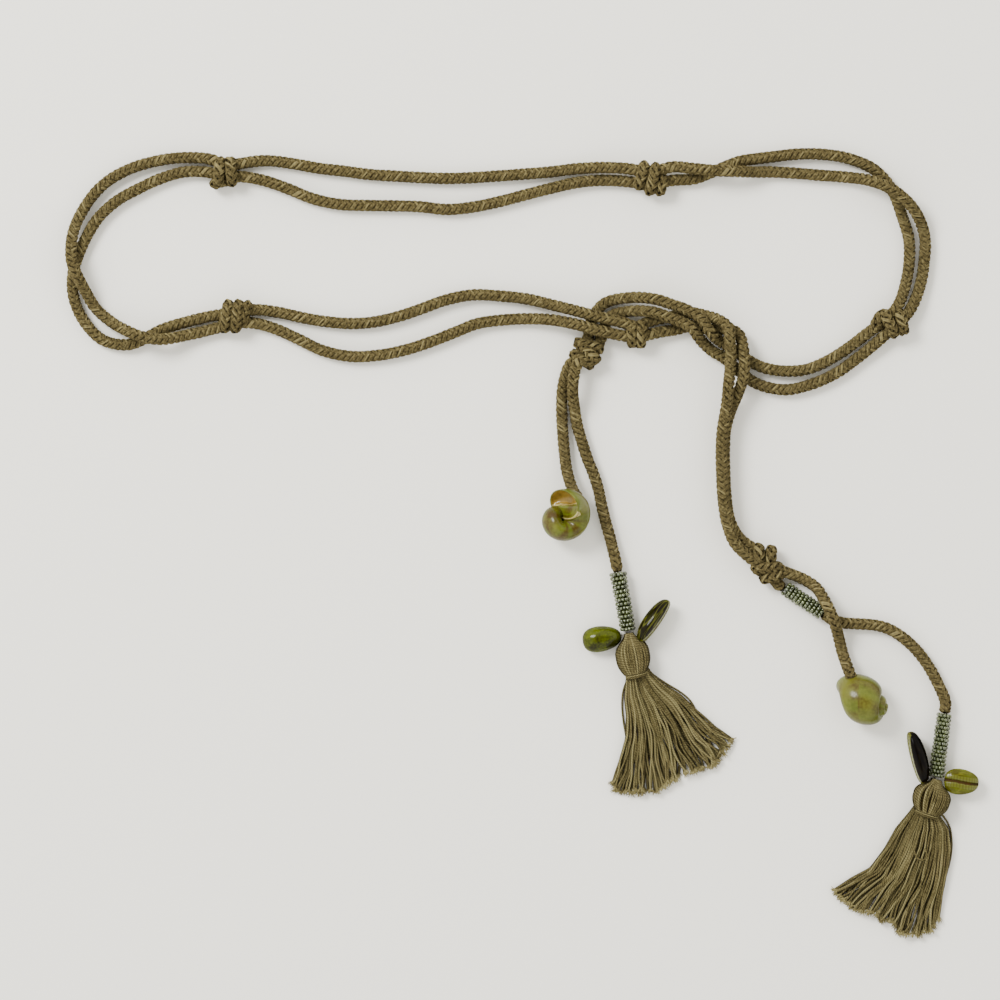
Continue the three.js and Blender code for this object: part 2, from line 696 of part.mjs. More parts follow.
function cowrieBody(name) {
  const cowrie = namedRow(COWRIE_COLUMNS, COWRIES[name]);
  const shape = COWRIE_SHAPE;
  const egg = new THREE.SphereGeometry(1, shape.around, shape.along).rotateZ(Math.PI / 2);
  const position = egg.attributes.position;
  const back = 1 / (1 + shape.belly);
  for (let i = 0; i < position.count; i++) {
    const along = position.getX(i);
    const rise = position.getZ(i) * (position.getZ(i) < 0 ? shape.belly : 1);
    position.setXYZ(
      i,
      along * cowrie.length / 2,
      position.getY(i) * (1 - shape.narrowing * along) * cowrie.width / 2,
      rise * back * cowrie.height,
    );
  }
  const belly = -shape.belly * back * cowrie.height;
  const slitDepth = shape.slitDepth * cowrie.height;
  const slit = new THREE.BoxGeometry(cowrie.length, COWRIE_SLIT, 2 * slitDepth).translate(0, 0, belly);
  const lying = geometryOf(solidOf(egg).subtract(solidOf(slit)))
    .rotateX(radians(cowrie.roll))
    .rotateZ(radians(cowrie.turn));
  return standAt(lying, cowrie.x, cowrie.y);
}

// A tassel: a gather, a round head, a binding and a skirt of locks, all lying flat on the surface.
const LOCK_SECTIONS = [
  // distance down the lock, width and height there, as shares of the lock's length, width and height
  { down: 0, width: 0.42, height: 1.5 },
  { down: 0.25, width: 0.62, height: 1.5 },
  { down: 0.55, width: 0.85, height: 1.25 },
  { down: 0.85, width: 1.0, height: 0.95 },
  { down: 1, width: 0.8, height: 0.55 },
];
const LOCK_ARC = [0, 36, 72, 108, 144, 180]; // degrees of the points on a lock's rounded top

function lockBody(binding, [angle, share, bend]) {
  const length = share * SKIRT_LENGTH;
  const heading = radians(angle);
  const down = new THREE.Vector3(Math.sin(heading), -Math.cos(heading), 0);
  const side = new THREE.Vector3(Math.cos(heading), Math.sin(heading), 0);
  const rings = LOCK_SECTIONS.map((section) => {
    const middle = onBoard(binding.x, binding.y)
      .addScaledVector(down, section.down * length)
      .addScaledVector(side, bend * (section.down ** 2 - section.down) * 2);
    return LOCK_ARC.map((degrees) => {
      const across = Math.cos(radians(degrees)) * section.width * LOCK_WIDTH / 2;
      const point = middle.clone().addScaledVector(side, across);
      return point.setZ(Math.sin(radians(degrees)) * section.height * LOCK_HEIGHT);
    });
  });
  return loft(rings);
}

// A ball squashed to a width, a length and a height.
function squashedBall(width, length, height, facets) {
  const ball = new THREE.SphereGeometry(1, facets.around, facets.along).rotateX(Math.PI / 2);
  return ball.scale(width / 2, length / 2, height / 2);
}

// A squashed ball with its underside cut flat on the surface.
function restingBall({ x, y, width, length, height }, turn, facets) {
  const ball = squashedBall(width, length, 1.2 * height, facets).translate(0, 0, 0.4 * height);
  const floor = 0;
  const position = ball.attributes.position;
  for (let i = 0; i < position.count; i++) position.setZ(i, Math.max(floor, position.getZ(i)));
  const place = onBoard(x, y);
  return ball.rotateZ(radians(turn)).translate(place.x, place.y, 0);
}

function tasselBody(name) {
  const { head, gather, binding, locks } = TASSELS[name];
  const ball = restingBall(head, head.turn, HEAD_FACETS);
  const top = restingBall(gather, head.turn, GATHER_FACETS);
  const waist = restingBall(binding, head.turn, GATHER_FACETS);
  return geometryOf(fuse([ball, top, waist, ...locks.map((lock) => lockBody(binding, lock))]));
}

// The belt
const finishes = {};

function finish(name, color, roughness) {
  finishes[name] ??= new THREE.MeshStandardMaterial({ color, roughness, metalness: 0 });
  return finishes[name];
}

function named(name, geometry, material) {
  const mesh = new THREE.Mesh(geometry, material);
  mesh.name = name;
  return mesh;
}

const belt = new THREE.Group();
const cotton = finish('cotton', COLOURS.rope, 0.95);
for (const { name, stretch } of ropes) belt.add(named(name, ropeTube(stretch), cotton));
for (const name of Object.keys(KNOTS)) belt.add(named(`knot_${name}`, knotBody(name), cotton));
for (const name of Object.keys(SLEEVES)) {
  belt.add(named(`bead_sleeve_${name}`, sleeveBody(name), finish('glass beads', COLOURS.beads, 0.25)));
}
for (const name of Object.keys(SHELLS)) {
  const material = finish(`${name} snail shell`, SHELLS[name].colour, 0.3);
  belt.add(named(`snail_shell_${name}`, shellBody(name), material));
}
for (const name of Object.keys(COWRIES)) {
  belt.add(named(`cowrie_${name}`, cowrieBody(name), finish('cowrie', COLOURS.cowrie, 0.35)));
}
for (const name of Object.keys(TASSELS)) {
  belt.add(named(`tassel_${name}`, tasselBody(name), finish('tassel', COLOURS.tassel, 0.95)));
}

export default belt;
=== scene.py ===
# A rope belt laid flat: two braided cotton ropes are knotted together seven times round the waist, and
# their crossed ends carry snail shells, sleeves of seed beads, cowries and tassels.
import math
import random
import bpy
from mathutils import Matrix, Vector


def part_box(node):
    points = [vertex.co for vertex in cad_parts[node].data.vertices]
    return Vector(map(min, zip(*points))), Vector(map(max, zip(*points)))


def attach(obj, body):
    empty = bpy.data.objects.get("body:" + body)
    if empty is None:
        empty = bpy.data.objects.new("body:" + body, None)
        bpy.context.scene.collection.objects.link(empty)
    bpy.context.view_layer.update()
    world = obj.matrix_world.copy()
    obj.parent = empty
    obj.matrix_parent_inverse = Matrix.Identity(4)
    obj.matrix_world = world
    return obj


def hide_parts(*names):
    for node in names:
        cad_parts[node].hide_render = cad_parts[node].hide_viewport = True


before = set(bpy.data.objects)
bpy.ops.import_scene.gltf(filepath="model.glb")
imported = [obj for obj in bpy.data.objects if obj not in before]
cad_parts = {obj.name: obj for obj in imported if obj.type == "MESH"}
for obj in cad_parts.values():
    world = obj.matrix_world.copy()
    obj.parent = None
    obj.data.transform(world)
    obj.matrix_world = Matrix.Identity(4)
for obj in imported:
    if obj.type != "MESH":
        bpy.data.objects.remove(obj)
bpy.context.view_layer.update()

from types import SimpleNamespace

import bpy
import numpy as np
from mathutils import Matrix, Vector

# Lengths are in millimetres until a mesh is made, and its points are then in metres.
METRE = 0.001

# The belt was measured on a board, from its left top corner, x to the right and y down. This is the
# board's point at the frame's origin.
BOARD_MIDDLE = (261.1, 270.44)

# Ropes: eight strands in a round braid, four winding each way, each over two and under two.
ROPE_DIAMETER = 5.9         # as in the part
ROPE_GAP = 0.3
PITCH = ROPE_DIAMETER + ROPE_GAP
STRANDS_EACH_WAY = 4
BRAID_PITCH = 11.6          # length of one turn of a strand
BRAID_RADIUS = 2.16         # middle of the strands from the rope's middle
BRAID_RISE = 0.34           # how far a strand moves out and in as it crosses others
STRAND_HALF_WIDTH = 1.22
STRAND_HALF_HEIGHT = 0.64
STRAND_SIDES = 6
CORE_RADIUS = 1.95
CORE_SIDES = 8
ROPE_END = (0.05, 0.8)      # shares of the thickness in the first two rings of each end
LOWEST_CENTRE = 3.15        # the rope's middle above the surface it lies on
ROPE_STEP = 0.9
KNOT_STEP = 0.8
TURN_STEPS = 60             # in each turn of a knot
MOVES_OVER = 0.8            # share of a turn after which it moves over to the next one
CURVE_STEPS = 16            # from one point of a line to the next one
TUBE_SHIFT = 0.137          # how many centimetres further each next tube starts in its texture

# Seed beads
BEAD_PITCH = 2.05
BEAD_RADIUS = 1.02          # outside, seen along the hole
BEAD_HOLE = 0.24
BEAD_LENGTH = 1.66
SLEEVE_FULLER = 0.4         # how far the beads stand out past the part's plain sleeve
BEADS_AROUND = 12
BEAD_SIDES = 10
BEAD_SECTION = 6
BEADS_VARY = SimpleNamespace(aside=0.09, size=(0.93, 1.05), sunk=0.25, slant=0.16, forward=0.12)
SLEEVE_CORE = SimpleNamespace(steps=20, sides=16, shorter=0.6, thinner=1.7)

# Tassel threads
THREAD_RADIUS = 0.66
HEAD_THREADS = 54
SKIRT_THREADS = 118

# The camera: its place in millimetres, its height and the width it sees in metres
CAMERA_PLACE = (-11.1, 20.44)
CAMERA_HEIGHT = 2.2
PHOTO_WIDTH = 0.5
FILM_WIDTH = 36

SEED = 41

# A knot's place on the board.
KNOTS = {
    "back_left": (113, 86.5),
    "back_middle": (325.5, 90),
    "right": (444.5, 162),
    "front": (318, 166.6),
    "left": (118, 159),
    "left_tails": (294, 176.5),
    "right_tails": (383.5, 282),
}

# The turns of rope that make each knot: how far right and back of the knot's middle, the angle of the
# turn's long axis with X in degrees, and half its length and height. Lengths are in rope diameters.
WRAPS = {
    "back_left": [
        (-0.5, 0.0, 84, 0.9, 0.5), (0.5, 0.05, 96, 0.85, 0.5), (-0.55, -0.85, 20, 0.35, 0.3),
    ],
    "back_middle": [
        (-0.85, 0.3, 74, 0.85, 0.5), (0.1, 0.0, 75, 1.0, 0.55), (0.85, -0.5, 75, 0.5, 0.4),
    ],
    "right": [
        (-0.1, 0.0, 117, 0.9, 0.55), (0.95, 0.15, 104, 0.75, 0.45), (-1.0, 0.3, 60, 0.4, 0.35),
    ],
    "front": [
        (-0.4, -0.15, 95, 0.72, 0.5), (0.4, -0.1, 85, 0.8, 0.5),
    ],
    "left": [
        (-0.75, 0.1, 80, 1.0, 0.5), (0.15, 0.1, 82, 1.0, 0.55), (0.8, 0.4, 70, 0.65, 0.4),
    ],
    "left_tails": [
        (0.05, 0.6, -15, 0.95, 0.3), (0.05, 0.0, -43, 0.8, 0.5), (-0.5, -0.55, -33, 0.8, 0.4),
    ],
    "right_tails": [
        (-0.75, 0.75, 90, 0.6, 0.45), (0.25, 0.7, 85, 0.5, 0.45), (-0.05, -0.3, 4, 0.95, 0.5),
        (0.35, -1.05, 14, 0.65, 0.4),
    ],
}

# Two ropes that run together. A row is a place on the line midway between them, then how far rope b
# lies to the right of rope a, how much higher rope a passes, and how high both lie, in rope pitches.
# Where the last ones are 0 they are left out.
PAIRS = {
    "back_rope": [
        (113, 86.5, 0.8, 0, 0.45), (120.5, 85.3, 1.05, 0, 0.1), (132.5, 85.5, 1.6), (145.4, 88.3, 2.05),
        (158.3, 92.0, 2.5), (171.0, 94.1, 2.7), (184.3, 95.2, 2.5), (197.3, 95.7, 2.4), (210.7, 96.3, 2.35),
        (223.6, 97.2, 2.5), (236.9, 96.3, 2.35), (249.7, 94.5, 2.05), (262.9, 92.3, 1.65),
        (275.6, 90.2, 1.3), (288.8, 88.0, 1.1, 0.1), (301.7, 87.3, 1.0, 0.5), (314.0, 88.0, 1.0, 0.5, 0.1),
        (325.5, 90, 0.9, 0.2, 0.4),
    ],
    "right_rope": [
        (325.5, 90, 0.8, 0.2, 0.4), (336.0, 87.2, 1.05, 0.5, 0.1), (346.8, 87.3, 0.75, 1.0),
        (358.0, 85.8, -0.1, 1.2), (369.0, 83.8, -0.85, 0.9), (378.0, 83.0, -1.1, 0.25), (385.1, 82.5, -1.2),
        (398.4, 82.1, -1.55), (411.2, 82.7, -1.7), (424.0, 84.3, -1.5, 0.1), (436.0, 88.2, -1.0, 0.85),
        (446.2, 96.1, 0, 1.25), (453.5, 106.8, 1.0, 0.85), (458.0, 118.7, 1.3), (458.0, 131.4, 1.2),
        (455.6, 144.5, 1.15, 0, 0.05), (451.0, 155.0, 1.0, 0, 0.35), (444.5, 162, 0.8, 0, 0.45),
    ],
    "closing_rope": [
        (444.5, 162, 0.8, 0, 0.45), (436.0, 168.8, 1.05, 0, 0.2), (426.7, 176.2, 1.1), (416.4, 183.2, 1.2),
        (404.6, 188.4, 1.25), (392.4, 190.3, 1.5), (379.9, 187.9, 1.4), (371.0, 182.5, 1.15),
        (363.2, 176.3, 1.0), (357.8, 173.2, 1.0, -0.3), (353.5, 169.5, 1.0, -0.68, 0.45),
        (350.9, 166.5, 1.0, -0.22, 1.0), (348.0, 162.3, 1.05, 0, 1.24), (341.5, 158.3, 1.05, 0, 1.3),
        (334.5, 155.8, 1.05, 0, 1.3), (326.9, 153.3, 1.05, 0, 1.2), (314.8, 152.4, 1.1, 0, 0.3),
        (303.5, 155.2, 1.15), (298.8, 162.5, 1.15), (297.0, 169.8, 1.0, 0, 0.05), (294, 176.5, 0.8, 0, 0.4),
    ],
    "left_rope": [
        (113, 86.5, -0.8, 0, 0.45), (105.5, 83.3, -1.05, 0, 0.15), (92.7, 82.6, -1.15), (79.6, 85.1, -1.45),
        (66.8, 89.9, -1.75), (55.3, 96.6, -1.7), (46.2, 106.3, -1.4), (40.2, 118.1, -1.05, 0.6),
        (37.6, 130.5, -0.3, 1.2), (38.0, 138.0, 0.45, 1.2), (40.0, 146.5, 1.05, 0.6), (44.6, 156.5, 1.35),
        (53.8, 165.6, 1.6, 0.1), (64.5, 169.3, 1.05, 0.85), (72.5, 169.2, 0.1, 1.25),
        (81.0, 167.6, -0.8, 1.0), (92.9, 164.6, -1.05, 0.3), (105.5, 161.6, -1.05, 0, 0.15),
        (118, 159, -0.8, 0, 0.45),
    ],
    "front_rope": [
        (118, 159, 0.8, 0, 0.45), (128.0, 158.4, 1.1, 0, 0.1), (138.7, 160.4, 1.35), (150.6, 164.3, 1.75),
        (162.9, 168.2, 2.35), (175.8, 170.1, 2.65), (188.3, 169.4, 2.7), (201.1, 166.7, 2.75),
        (213.0, 162.8, 2.75), (225.2, 158.2, 2.7), (237.3, 154.8, 2.35), (250.2, 154.2, 1.95),
        (263.2, 154.6, 1.6, 0, 0.1), (275.6, 156.4, 1.2, 0, 0.5), (288.3, 159.3, 1.05, 0, 1.1),
        (300.4, 162.6, 1.05, 0, 1.2), (309.5, 164.6, 1.05, 0, 0.95), (318, 166.6, 0.8, 0, 0.6),
    ],
    "hanging_rope": [
        (318, 166.6, 0.8, 0, 0.6), (327.5, 163.4, 1.05, 0, 0.2), (337.0, 161.6, 1.1), (345.9, 159.8, 1.05),
        (352.5, 161.3, 1.05, 0.25), (358.9, 162.8, 0.75, 0.92), (363.7, 164.5, 0, 1.25, 0.22),
        (366.7, 168.6, -0.88, 1.03, 0.52), (367.7, 173.5, -1.02, 0.4, 0.95), (368.2, 180.0, -1.08, 0, 1.28),
        (367.8, 187.5, -1.13, 0, 1.25), (366.0, 196.0, -0.88, 0.9, 0.85), (363.8, 205.0, -0.45, 1.0, 0.2),
        (361.8, 214.0, -0.3, 1.1), (361.1, 224.0, -0.3, 1.1), (361.2, 234.0, -0.3, 1.1),
        (361.6, 244.0, -0.3, 1.1), (362.4, 253.0, -0.3, 1.1), (364.2, 262.0, -0.35, 1.05, 0.05),
        (368.5, 270.5, -0.6, 0.9, 0.15), (375.5, 276.5, -0.8, 0.6, 0.3), (383.5, 282.0, -0.8, 0, 0.45),
    ],
}

# The single ropes at the ends: x and y on the board, and how high the rope lies in rope pitches, left
# out where it is 0.
TAILS = {
    "tail_to_left_shell": [
        (294, 176.5, 0.4), (285.6, 181.6, 0.1), (282.6, 188.0), (281.2, 195.0), (280.8, 203.0),
        (281.0, 211.0), (281.5, 219.0), (282.2, 226.7), (283.2, 234.5, 0.1), (284.6, 240.0, 0.4),
        (286.6, 245.8, 0.8),
    ],
    "tail_to_left_tassel": [
        (294, 176.5, 0.4), (288.2, 183.0, 1.0), (286.6, 189.5, 1.15), (286.2, 196.5, 0.9),
        (287.2, 204.5, 0.2), (288.6, 213.0), (290.8, 220.5), (293.5, 229.0), (296.7, 237.0), (299.2, 245.0),
        (300.6, 252.0), (302.8, 261.0), (305.0, 269.0), (306.6, 275.5, 0.1),
    ],
    "tail_to_right_shell": [
        (383.5, 282, 0.45), (391.5, 285.6, 0.3), (397.6, 287.8, 0.1), (403.2, 290.4, 0.1),
        (408.0, 294.0, 0.5), (411.3, 299.4, 1.0), (414.2, 305.2, 1.35), (416.6, 311.6, 1.3),
        (418.9, 318.5, 0.4), (420.6, 325.0, 0.1), (422.6, 331.5, 0.5), (424.0, 335.6, 0.9),
    ],
    "tail_to_right_beads": [
        (383.5, 282, 0.45), (387.0, 288.0, 0.3),
    ],
    "tail_to_right_tassel": [
        (420.5, 311.2), (426.0, 311.7), (432.0, 312.0), (438.5, 312.7), (445.0, 314.8), (451.0, 318.6),
        (457.5, 324.5), (463.6, 332.5), (468.8, 342.0, 0.05),
    ],
}

# Tails that run into a sleeve of beads or come out of one.
INTO_SLEEVE = {"tail_to_left_tassel": "left", "tail_to_right_beads": "right_upper",
               "tail_to_right_tassel": "right_lower"}
OUT_OF_SLEEVE = {"tail_to_right_tassel": "right_upper"}
SLEEVE_LEAD = 0.9           # how long they run straight there, in rope diameters

# This short tail is one piece with its knot.
STUB = "tail_to_right_beads"
STUB_KNOT = "right_tails"

# Bead sleeves: the board's points at both ends, and the diameters there.
SLEEVES = {
    "left": (308.75, 286.0, 313.9, 315.2, 8.4, 7.4),
    "right_upper": (392.0, 294.0, 411.0, 306.5, 7.4, 7.4),
    "right_lower": (471.75, 356.5, 467.75, 388.3, 7.4, 7.6),
}

# Snail shells as in the part: share of SHELL_SIZE, spin about the axis, the tip's angle from straight
# down and its heading. Then as seen: shares of the width and the length, and how far it is turned on.
SHELL_SIZE = 23.5
SHELLS = {
    "left": (1.15, 284, 35, 180, 1.0, 1.0, 0),
    "right": (1.11, 90, 106, -10, 0.94, 1.04, -6),
}

# Cowries as in the part: length, width, height and the angle of the length with X. Then as seen: the
# roll about the length, shares of the length and height, and how far it is turned aside. Those on edge
# show a little of their mouths.
COWRIES = {
    "left_flat": (19.4, 12.8, 9.5, 8, 0, 1.0, 1.0, 0),
    "left_edge": (23.0, 13.5, 9.0, 60, -104, 1.1, 0.9, -5),
    "right_edge": (25.5, 13.5, 9.0, 104, 97, 1.05, 0.88, 1),
    "right_open": (17.2, 12.8, 9.0, -5, 180, 1.0, 1.0, 0),
}

# Tassels: the head's middle, length, width, height and turn, then the gather above it.
TASSEL_HEADS = {
    "left": (315.9, 328.4, 19.0, 17.4, 13.0, 12.5, 314.7, 318.8),
    "right": (465.2, 399.2, 16.6, 19.4, 13.0, -18, 467.1, 391.7),
}

# A snail's whorl in shares of the shell's size. Turns are counted back from the mouth.
WHORL = SimpleNamespace(
    turns=2.4, rounded_start=0.3, widening=2.2, mouth_radius=0.29, mouth_offset=0.3, mouth_drop=0.62,
    section_height=1.5, closing=0.999
)
WHORL_STEPS = 52            # rings in each turn
WHORL_SIDES = 36
SHELL_WALL = 0.8

# The lip: how far each of its rings stands after the mouth, in turns, and inside the outer surface.
SHELL_LIP = ((0.012, 0.1), (0.016, SHELL_WALL / 2), (0.012, SHELL_WALL - 0.1))

# The bowl in the mouth. Its depth is in turns, and less by the share called bulge on the side where the
# whorl before it lies. Across the bowl come that whorl's wall, the callus and the inside. The pale edge
# is the inner side of the last rings before the bowl.
MOUTH = SimpleNamespace(
    depth=0.09, reach=0.98, steps=20, bulge=0.9, steepness=3, wall_ends=-0.06, callus_ends=0.1,
    pale_rings=9, pale_side=-0.55
)

# A cowrie in shares of its size, but the slit's bend and the height of the teeth in millimetres. The
# marks are the strengths of slit and teeth from which they have their own finish.
COWRIE_SHAPE = SimpleNamespace(
    steps=96, tip=0.004, narrowing=0.14, bluntness=0.76, belly=0.42, slit_width=0.055, slit_depth=0.16,
    slit_bend=0.5, slit_mark=0.4, teeth=17, teeth_width=0.36, teeth_height=0.07, teeth_mark=0.35
)

# A tassel's head from the gather to the neck: shares of the way, and of its greatest width there. Its
# threads lie a little aside, lean, and are sunk by a share of their radius.
HEAD = SimpleNamespace(
    share=[0, 0.1, 0.2, 0.3, 0.42, 0.55, 0.68, 0.8, 0.9, 1.0],
    girth=[0.2, 0.34, 0.6, 0.86, 0.98, 1.0, 0.98, 0.88, 0.74, 0.58],
    above_gather=2.2, neck_back=0.6, past_neck=1.03, aside=0.3, lean=0.12, sunk=(0.9, 1.15),
    thread_points=10, thread_step=0.7, core_sides=24, core_steps=20, core_ends=(0.02, 0.98),
    core_thinner=1.5
)

# The thread wound round its neck, and the loops that tie the cowries to the gather: each loop's tilt
# and half its width.
BINDING = SimpleNamespace(
    wraps=3, steps=40, pitch=0.9, radius=0.5, height=0.46, half_width=0.29, half_height=0.3, slant=0.3
)
GATHER = SimpleNamespace(
    loops=((0.0, 2.6), (0.9, 2.9), (2.1, 2.4)), steps=36, radius=0.62, height=3.4, half_height=2.2, lean=0.4
)

# How the skirt's threads lie: where they end in shares of the way, how they drift, sway and curl aside,
# and the top of the bundle as a least height and how much higher its middle is.
SKIRT_WAY = SimpleNamespace(
    steps=46, spacing=1.0, edges=(0.01, 0.99), ends=(0.93, 1.02), past_outline=40, opening=1.6,
    drift=0.03, sway=0.02, waves=(1.2, 2.6), curl=(0.15, 0.75), curl_way=(0.8, -0.5), ripple=0.35,
    neck_height=(4.2, 4.6), end_height=(1.6, 3.0), slope=0.8, crowded_on_top=0.7,
    thickness=(0.88, 1.08), lowest=1.02
)
FRAY = SimpleNamespace(
    fibres=8, steps=5, length=(1.2, 3.4), radii=(0.4, 0.18), spread=0.55, lift=0.25, bend=0.5, lowest=0.2
)

# The outline of each tassel's skirt, in the photograph's pixels from the board's corner: two of them
# are one millimetre. Its left and right sides go from the neck to the ends of the threads, and the
# bottom goes from the left side to the right one.
OUTLINE_PIXEL = 0.5
SKIRTS = {
    "left": SimpleNamespace(
        left=[(629, 671), (626, 681), (625, 697), (627, 713), (627, 732), (623.5, 747), (619, 762),
              (611, 781)],
        right=[(647, 667), (652, 675), (665, 685), (681, 695), (695, 708), (710, 721.5), (731.6, 736)],
        bottom=[(611, 782), (620, 793), (631, 791), (646, 791), (656, 792), (671, 780), (687, 771),
                (707, 768), (717, 762), (724.5, 750), (731.6, 738)],
    ),
    "right": SimpleNamespace(
        left=[(916, 803), (910, 811), (896, 828), (885, 847.5), (871.5, 866), (852, 876), (833, 888)],
        right=[(935, 808), (940, 818), (948, 829), (950.5, 847.5), (948, 869), (943, 897), (940, 922)],
        bottom=[(833, 889), (843, 899), (853, 907), (863, 911), (878, 912), (881, 920), (893, 920),
                (896, 930), (905, 934), (916, 933), (929.5, 930.5), (938, 917)],
    ),
}

# Where the single ropes go on into the shells, in rows of the same kind.
INTO_SHELL = {
    "tail_to_left_shell": [(288.4, 248.4, 1.25), (289.2, 251.4, 1.6)],
    "tail_to_right_shell": [(425.5, 339.9, 0.9)],
}

# Single threads that lie off a skirt or loop over it, in the same pixels, with heights in millimetres.
STRAY = SimpleNamespace(spacing=0.8, radius=0.5, tone=7)
STRAYS = {
    "left": [
        [(638, 668, 5), (628, 679, 2.6), (623.5, 690, 1), (622, 702, 0.6), (623, 718, 0.6), (626, 736, 1)],
        [(646, 668, 6), (655, 676, 3), (668, 684.5, 1), (681, 692.5, 0.6), (690, 700.5, 0.6),
         (696, 711, 1), (699, 718, 2)],
    ],
    "right": [
        [(934, 808, 6), (942, 815, 3), (949, 826, 1), (951.5, 840, 0.6), (951, 854, 0.6), (948, 868, 1)],
        [(912, 848, 9), (915, 856, 9.6), (921, 858.5, 9.6), (925, 854, 9.6), (923, 847, 9)],
    ],
}


# Places and lines

def on_board(x, y, z=0.0):
    """A point of the board, at a height above the surface, in the belt's own frame."""
    return np.array([x - BOARD_MIDDLE[0], BOARD_MIDDLE[1] - y, z], float)


def rope_height(lift):
    """The height of a rope's middle that lies some rope pitches above the board."""
    return ROPE_DIAMETER / 2 + lift * PITCH


def filled(rows, count):
    """Rows of a table with the zeros that were left out."""
    return [(*row, 0, 0)[:count] for row in rows]


def unit(vectors):
    """The vectors' directions, one unit long."""
    lengths = np.linalg.norm(vectors, axis=-1, keepdims=True)
    return vectors / np.maximum(lengths, 1e-9)


def evenly(points, spacing):
    """Points on a polyline at even distances."""
    steps = np.linalg.norm(np.diff(points, axis=0), axis=1)
    distance = np.concatenate([[0.0], np.cumsum(steps)])
    count = max(3, round(distance[-1] / spacing) + 1)
    wanted = np.linspace(0.0, distance[-1], count)
    return np.stack([np.interp(wanted, distance, points[:, k]) for k in range(points.shape[1])], axis=1)


def smooth_line(points, spacing):
    """Evenly spaced points on the smooth curve through points, as the part's ropes are drawn."""
    points = np.array(points, float)
    first = 2 * points[0] - points[1]
    last = 2 * points[-1] - points[-2]
    knots = np.vstack([first, points, last])
    share = np.linspace(0.0, 1.0, CURVE_STEPS, endpoint=False)[:, None]
    dense = []
    for before, start, end, after in zip(knots[:-3], knots[1:-2], knots[2:-1], knots[3:]):
        spans = ((before, start), (start, end), (end, after))
        gap0, gap1, gap2 = (max(np.linalg.norm(b - a) ** 0.5, 1e-4) for a, b in spans)
        leaving = gap1 * (
            (start - before) / gap0 - (end - before) / (gap0 + gap1) + (end - start) / gap1
        )
        arriving = gap1 * (
            (end - start) / gap1 - (after - start) / (gap1 + gap2) + (after - end) / gap2
        )
        square = -3 * start + 3 * end - 2 * leaving - arriving
        cube = 2 * start - 2 * end + leaving + arriving
        dense.append(start + leaving * share + square * share**2 + cube * share**3)
    dense.append(points[-1:])
    return evenly(np.concatenate(dense), spacing)


def pair_lines(rows):
    """The middle lines of rope a and rope b of a pair."""
    rows = filled(rows, 5)
    middles = np.array([on_board(x, y) for x, y, *_ in rows])
    behind = middles[[0, *range(len(rows) - 1)]]
    ahead = middles[[*range(1, len(rows)), len(rows) - 1]]
    along = unit(ahead - behind)
    to_left = np.stack([-along[:, 1], along[:, 0], np.zeros(len(rows))], axis=1)
    lines = []
    for side in (1, -1):
        points = []
        for middle, left, (_, _, apart, over, lift) in zip(middles, to_left, rows):
            point = middle + left * side * apart * PITCH / 2
            point[2] = rope_height(lift + max(0, side * over))
            points.append(point)
        lines.append(smooth_line(points, ROPE_STEP))
    return lines


def sleeve_axis(name):
    """Both ends of a sleeve's middle line, and its direction."""
    x0, y0, x1, y1, start_diameter, end_diameter = SLEEVES[name]
    start = on_board(x0, y0, start_diameter / 2)
    end = on_board(x1, y1, end_diameter / 2)
    return start, end, unit(end - start)


def tail_line(name):
    """The middle line of a single rope, with its way into a shell or a sleeve or out of one."""
    rows = filled([*TAILS[name], *INTO_SHELL.get(name, [])], 3)
    points = [on_board(x, y, rope_height(lift)) for x, y, lift in rows]
    lead = SLEEVE_LEAD * ROPE_DIAMETER
    if name in OUT_OF_SLEEVE:
        _, end, along = sleeve_axis(OUT_OF_SLEEVE[name])
        points = [end, end + along * lead, *points]
    if name in INTO_SLEEVE:
        start, _, along = sleeve_axis(INTO_SLEEVE[name])
        points = [*points, start - along * lead, start]
    return smooth_line(points, ROPE_STEP)


def above_surface(line):
    """The line, nowhere lower than a rope can lie."""
    lifted = line.copy()
    lifted[:, 2] = np.maximum(lifted[:, 2], LOWEST_CENTRE)
    return lifted


def level_sides(line):
    """For each point of a line: its direction, the level direction to its left, and up from both."""
    along = unit(np.gradient(line, axis=0))
    left = unit(np.cross([0.0, 0.0, 1.0], along))
    return along, left, np.cross(along, left)


# Meshes: rings of points are gathered, and made into one object

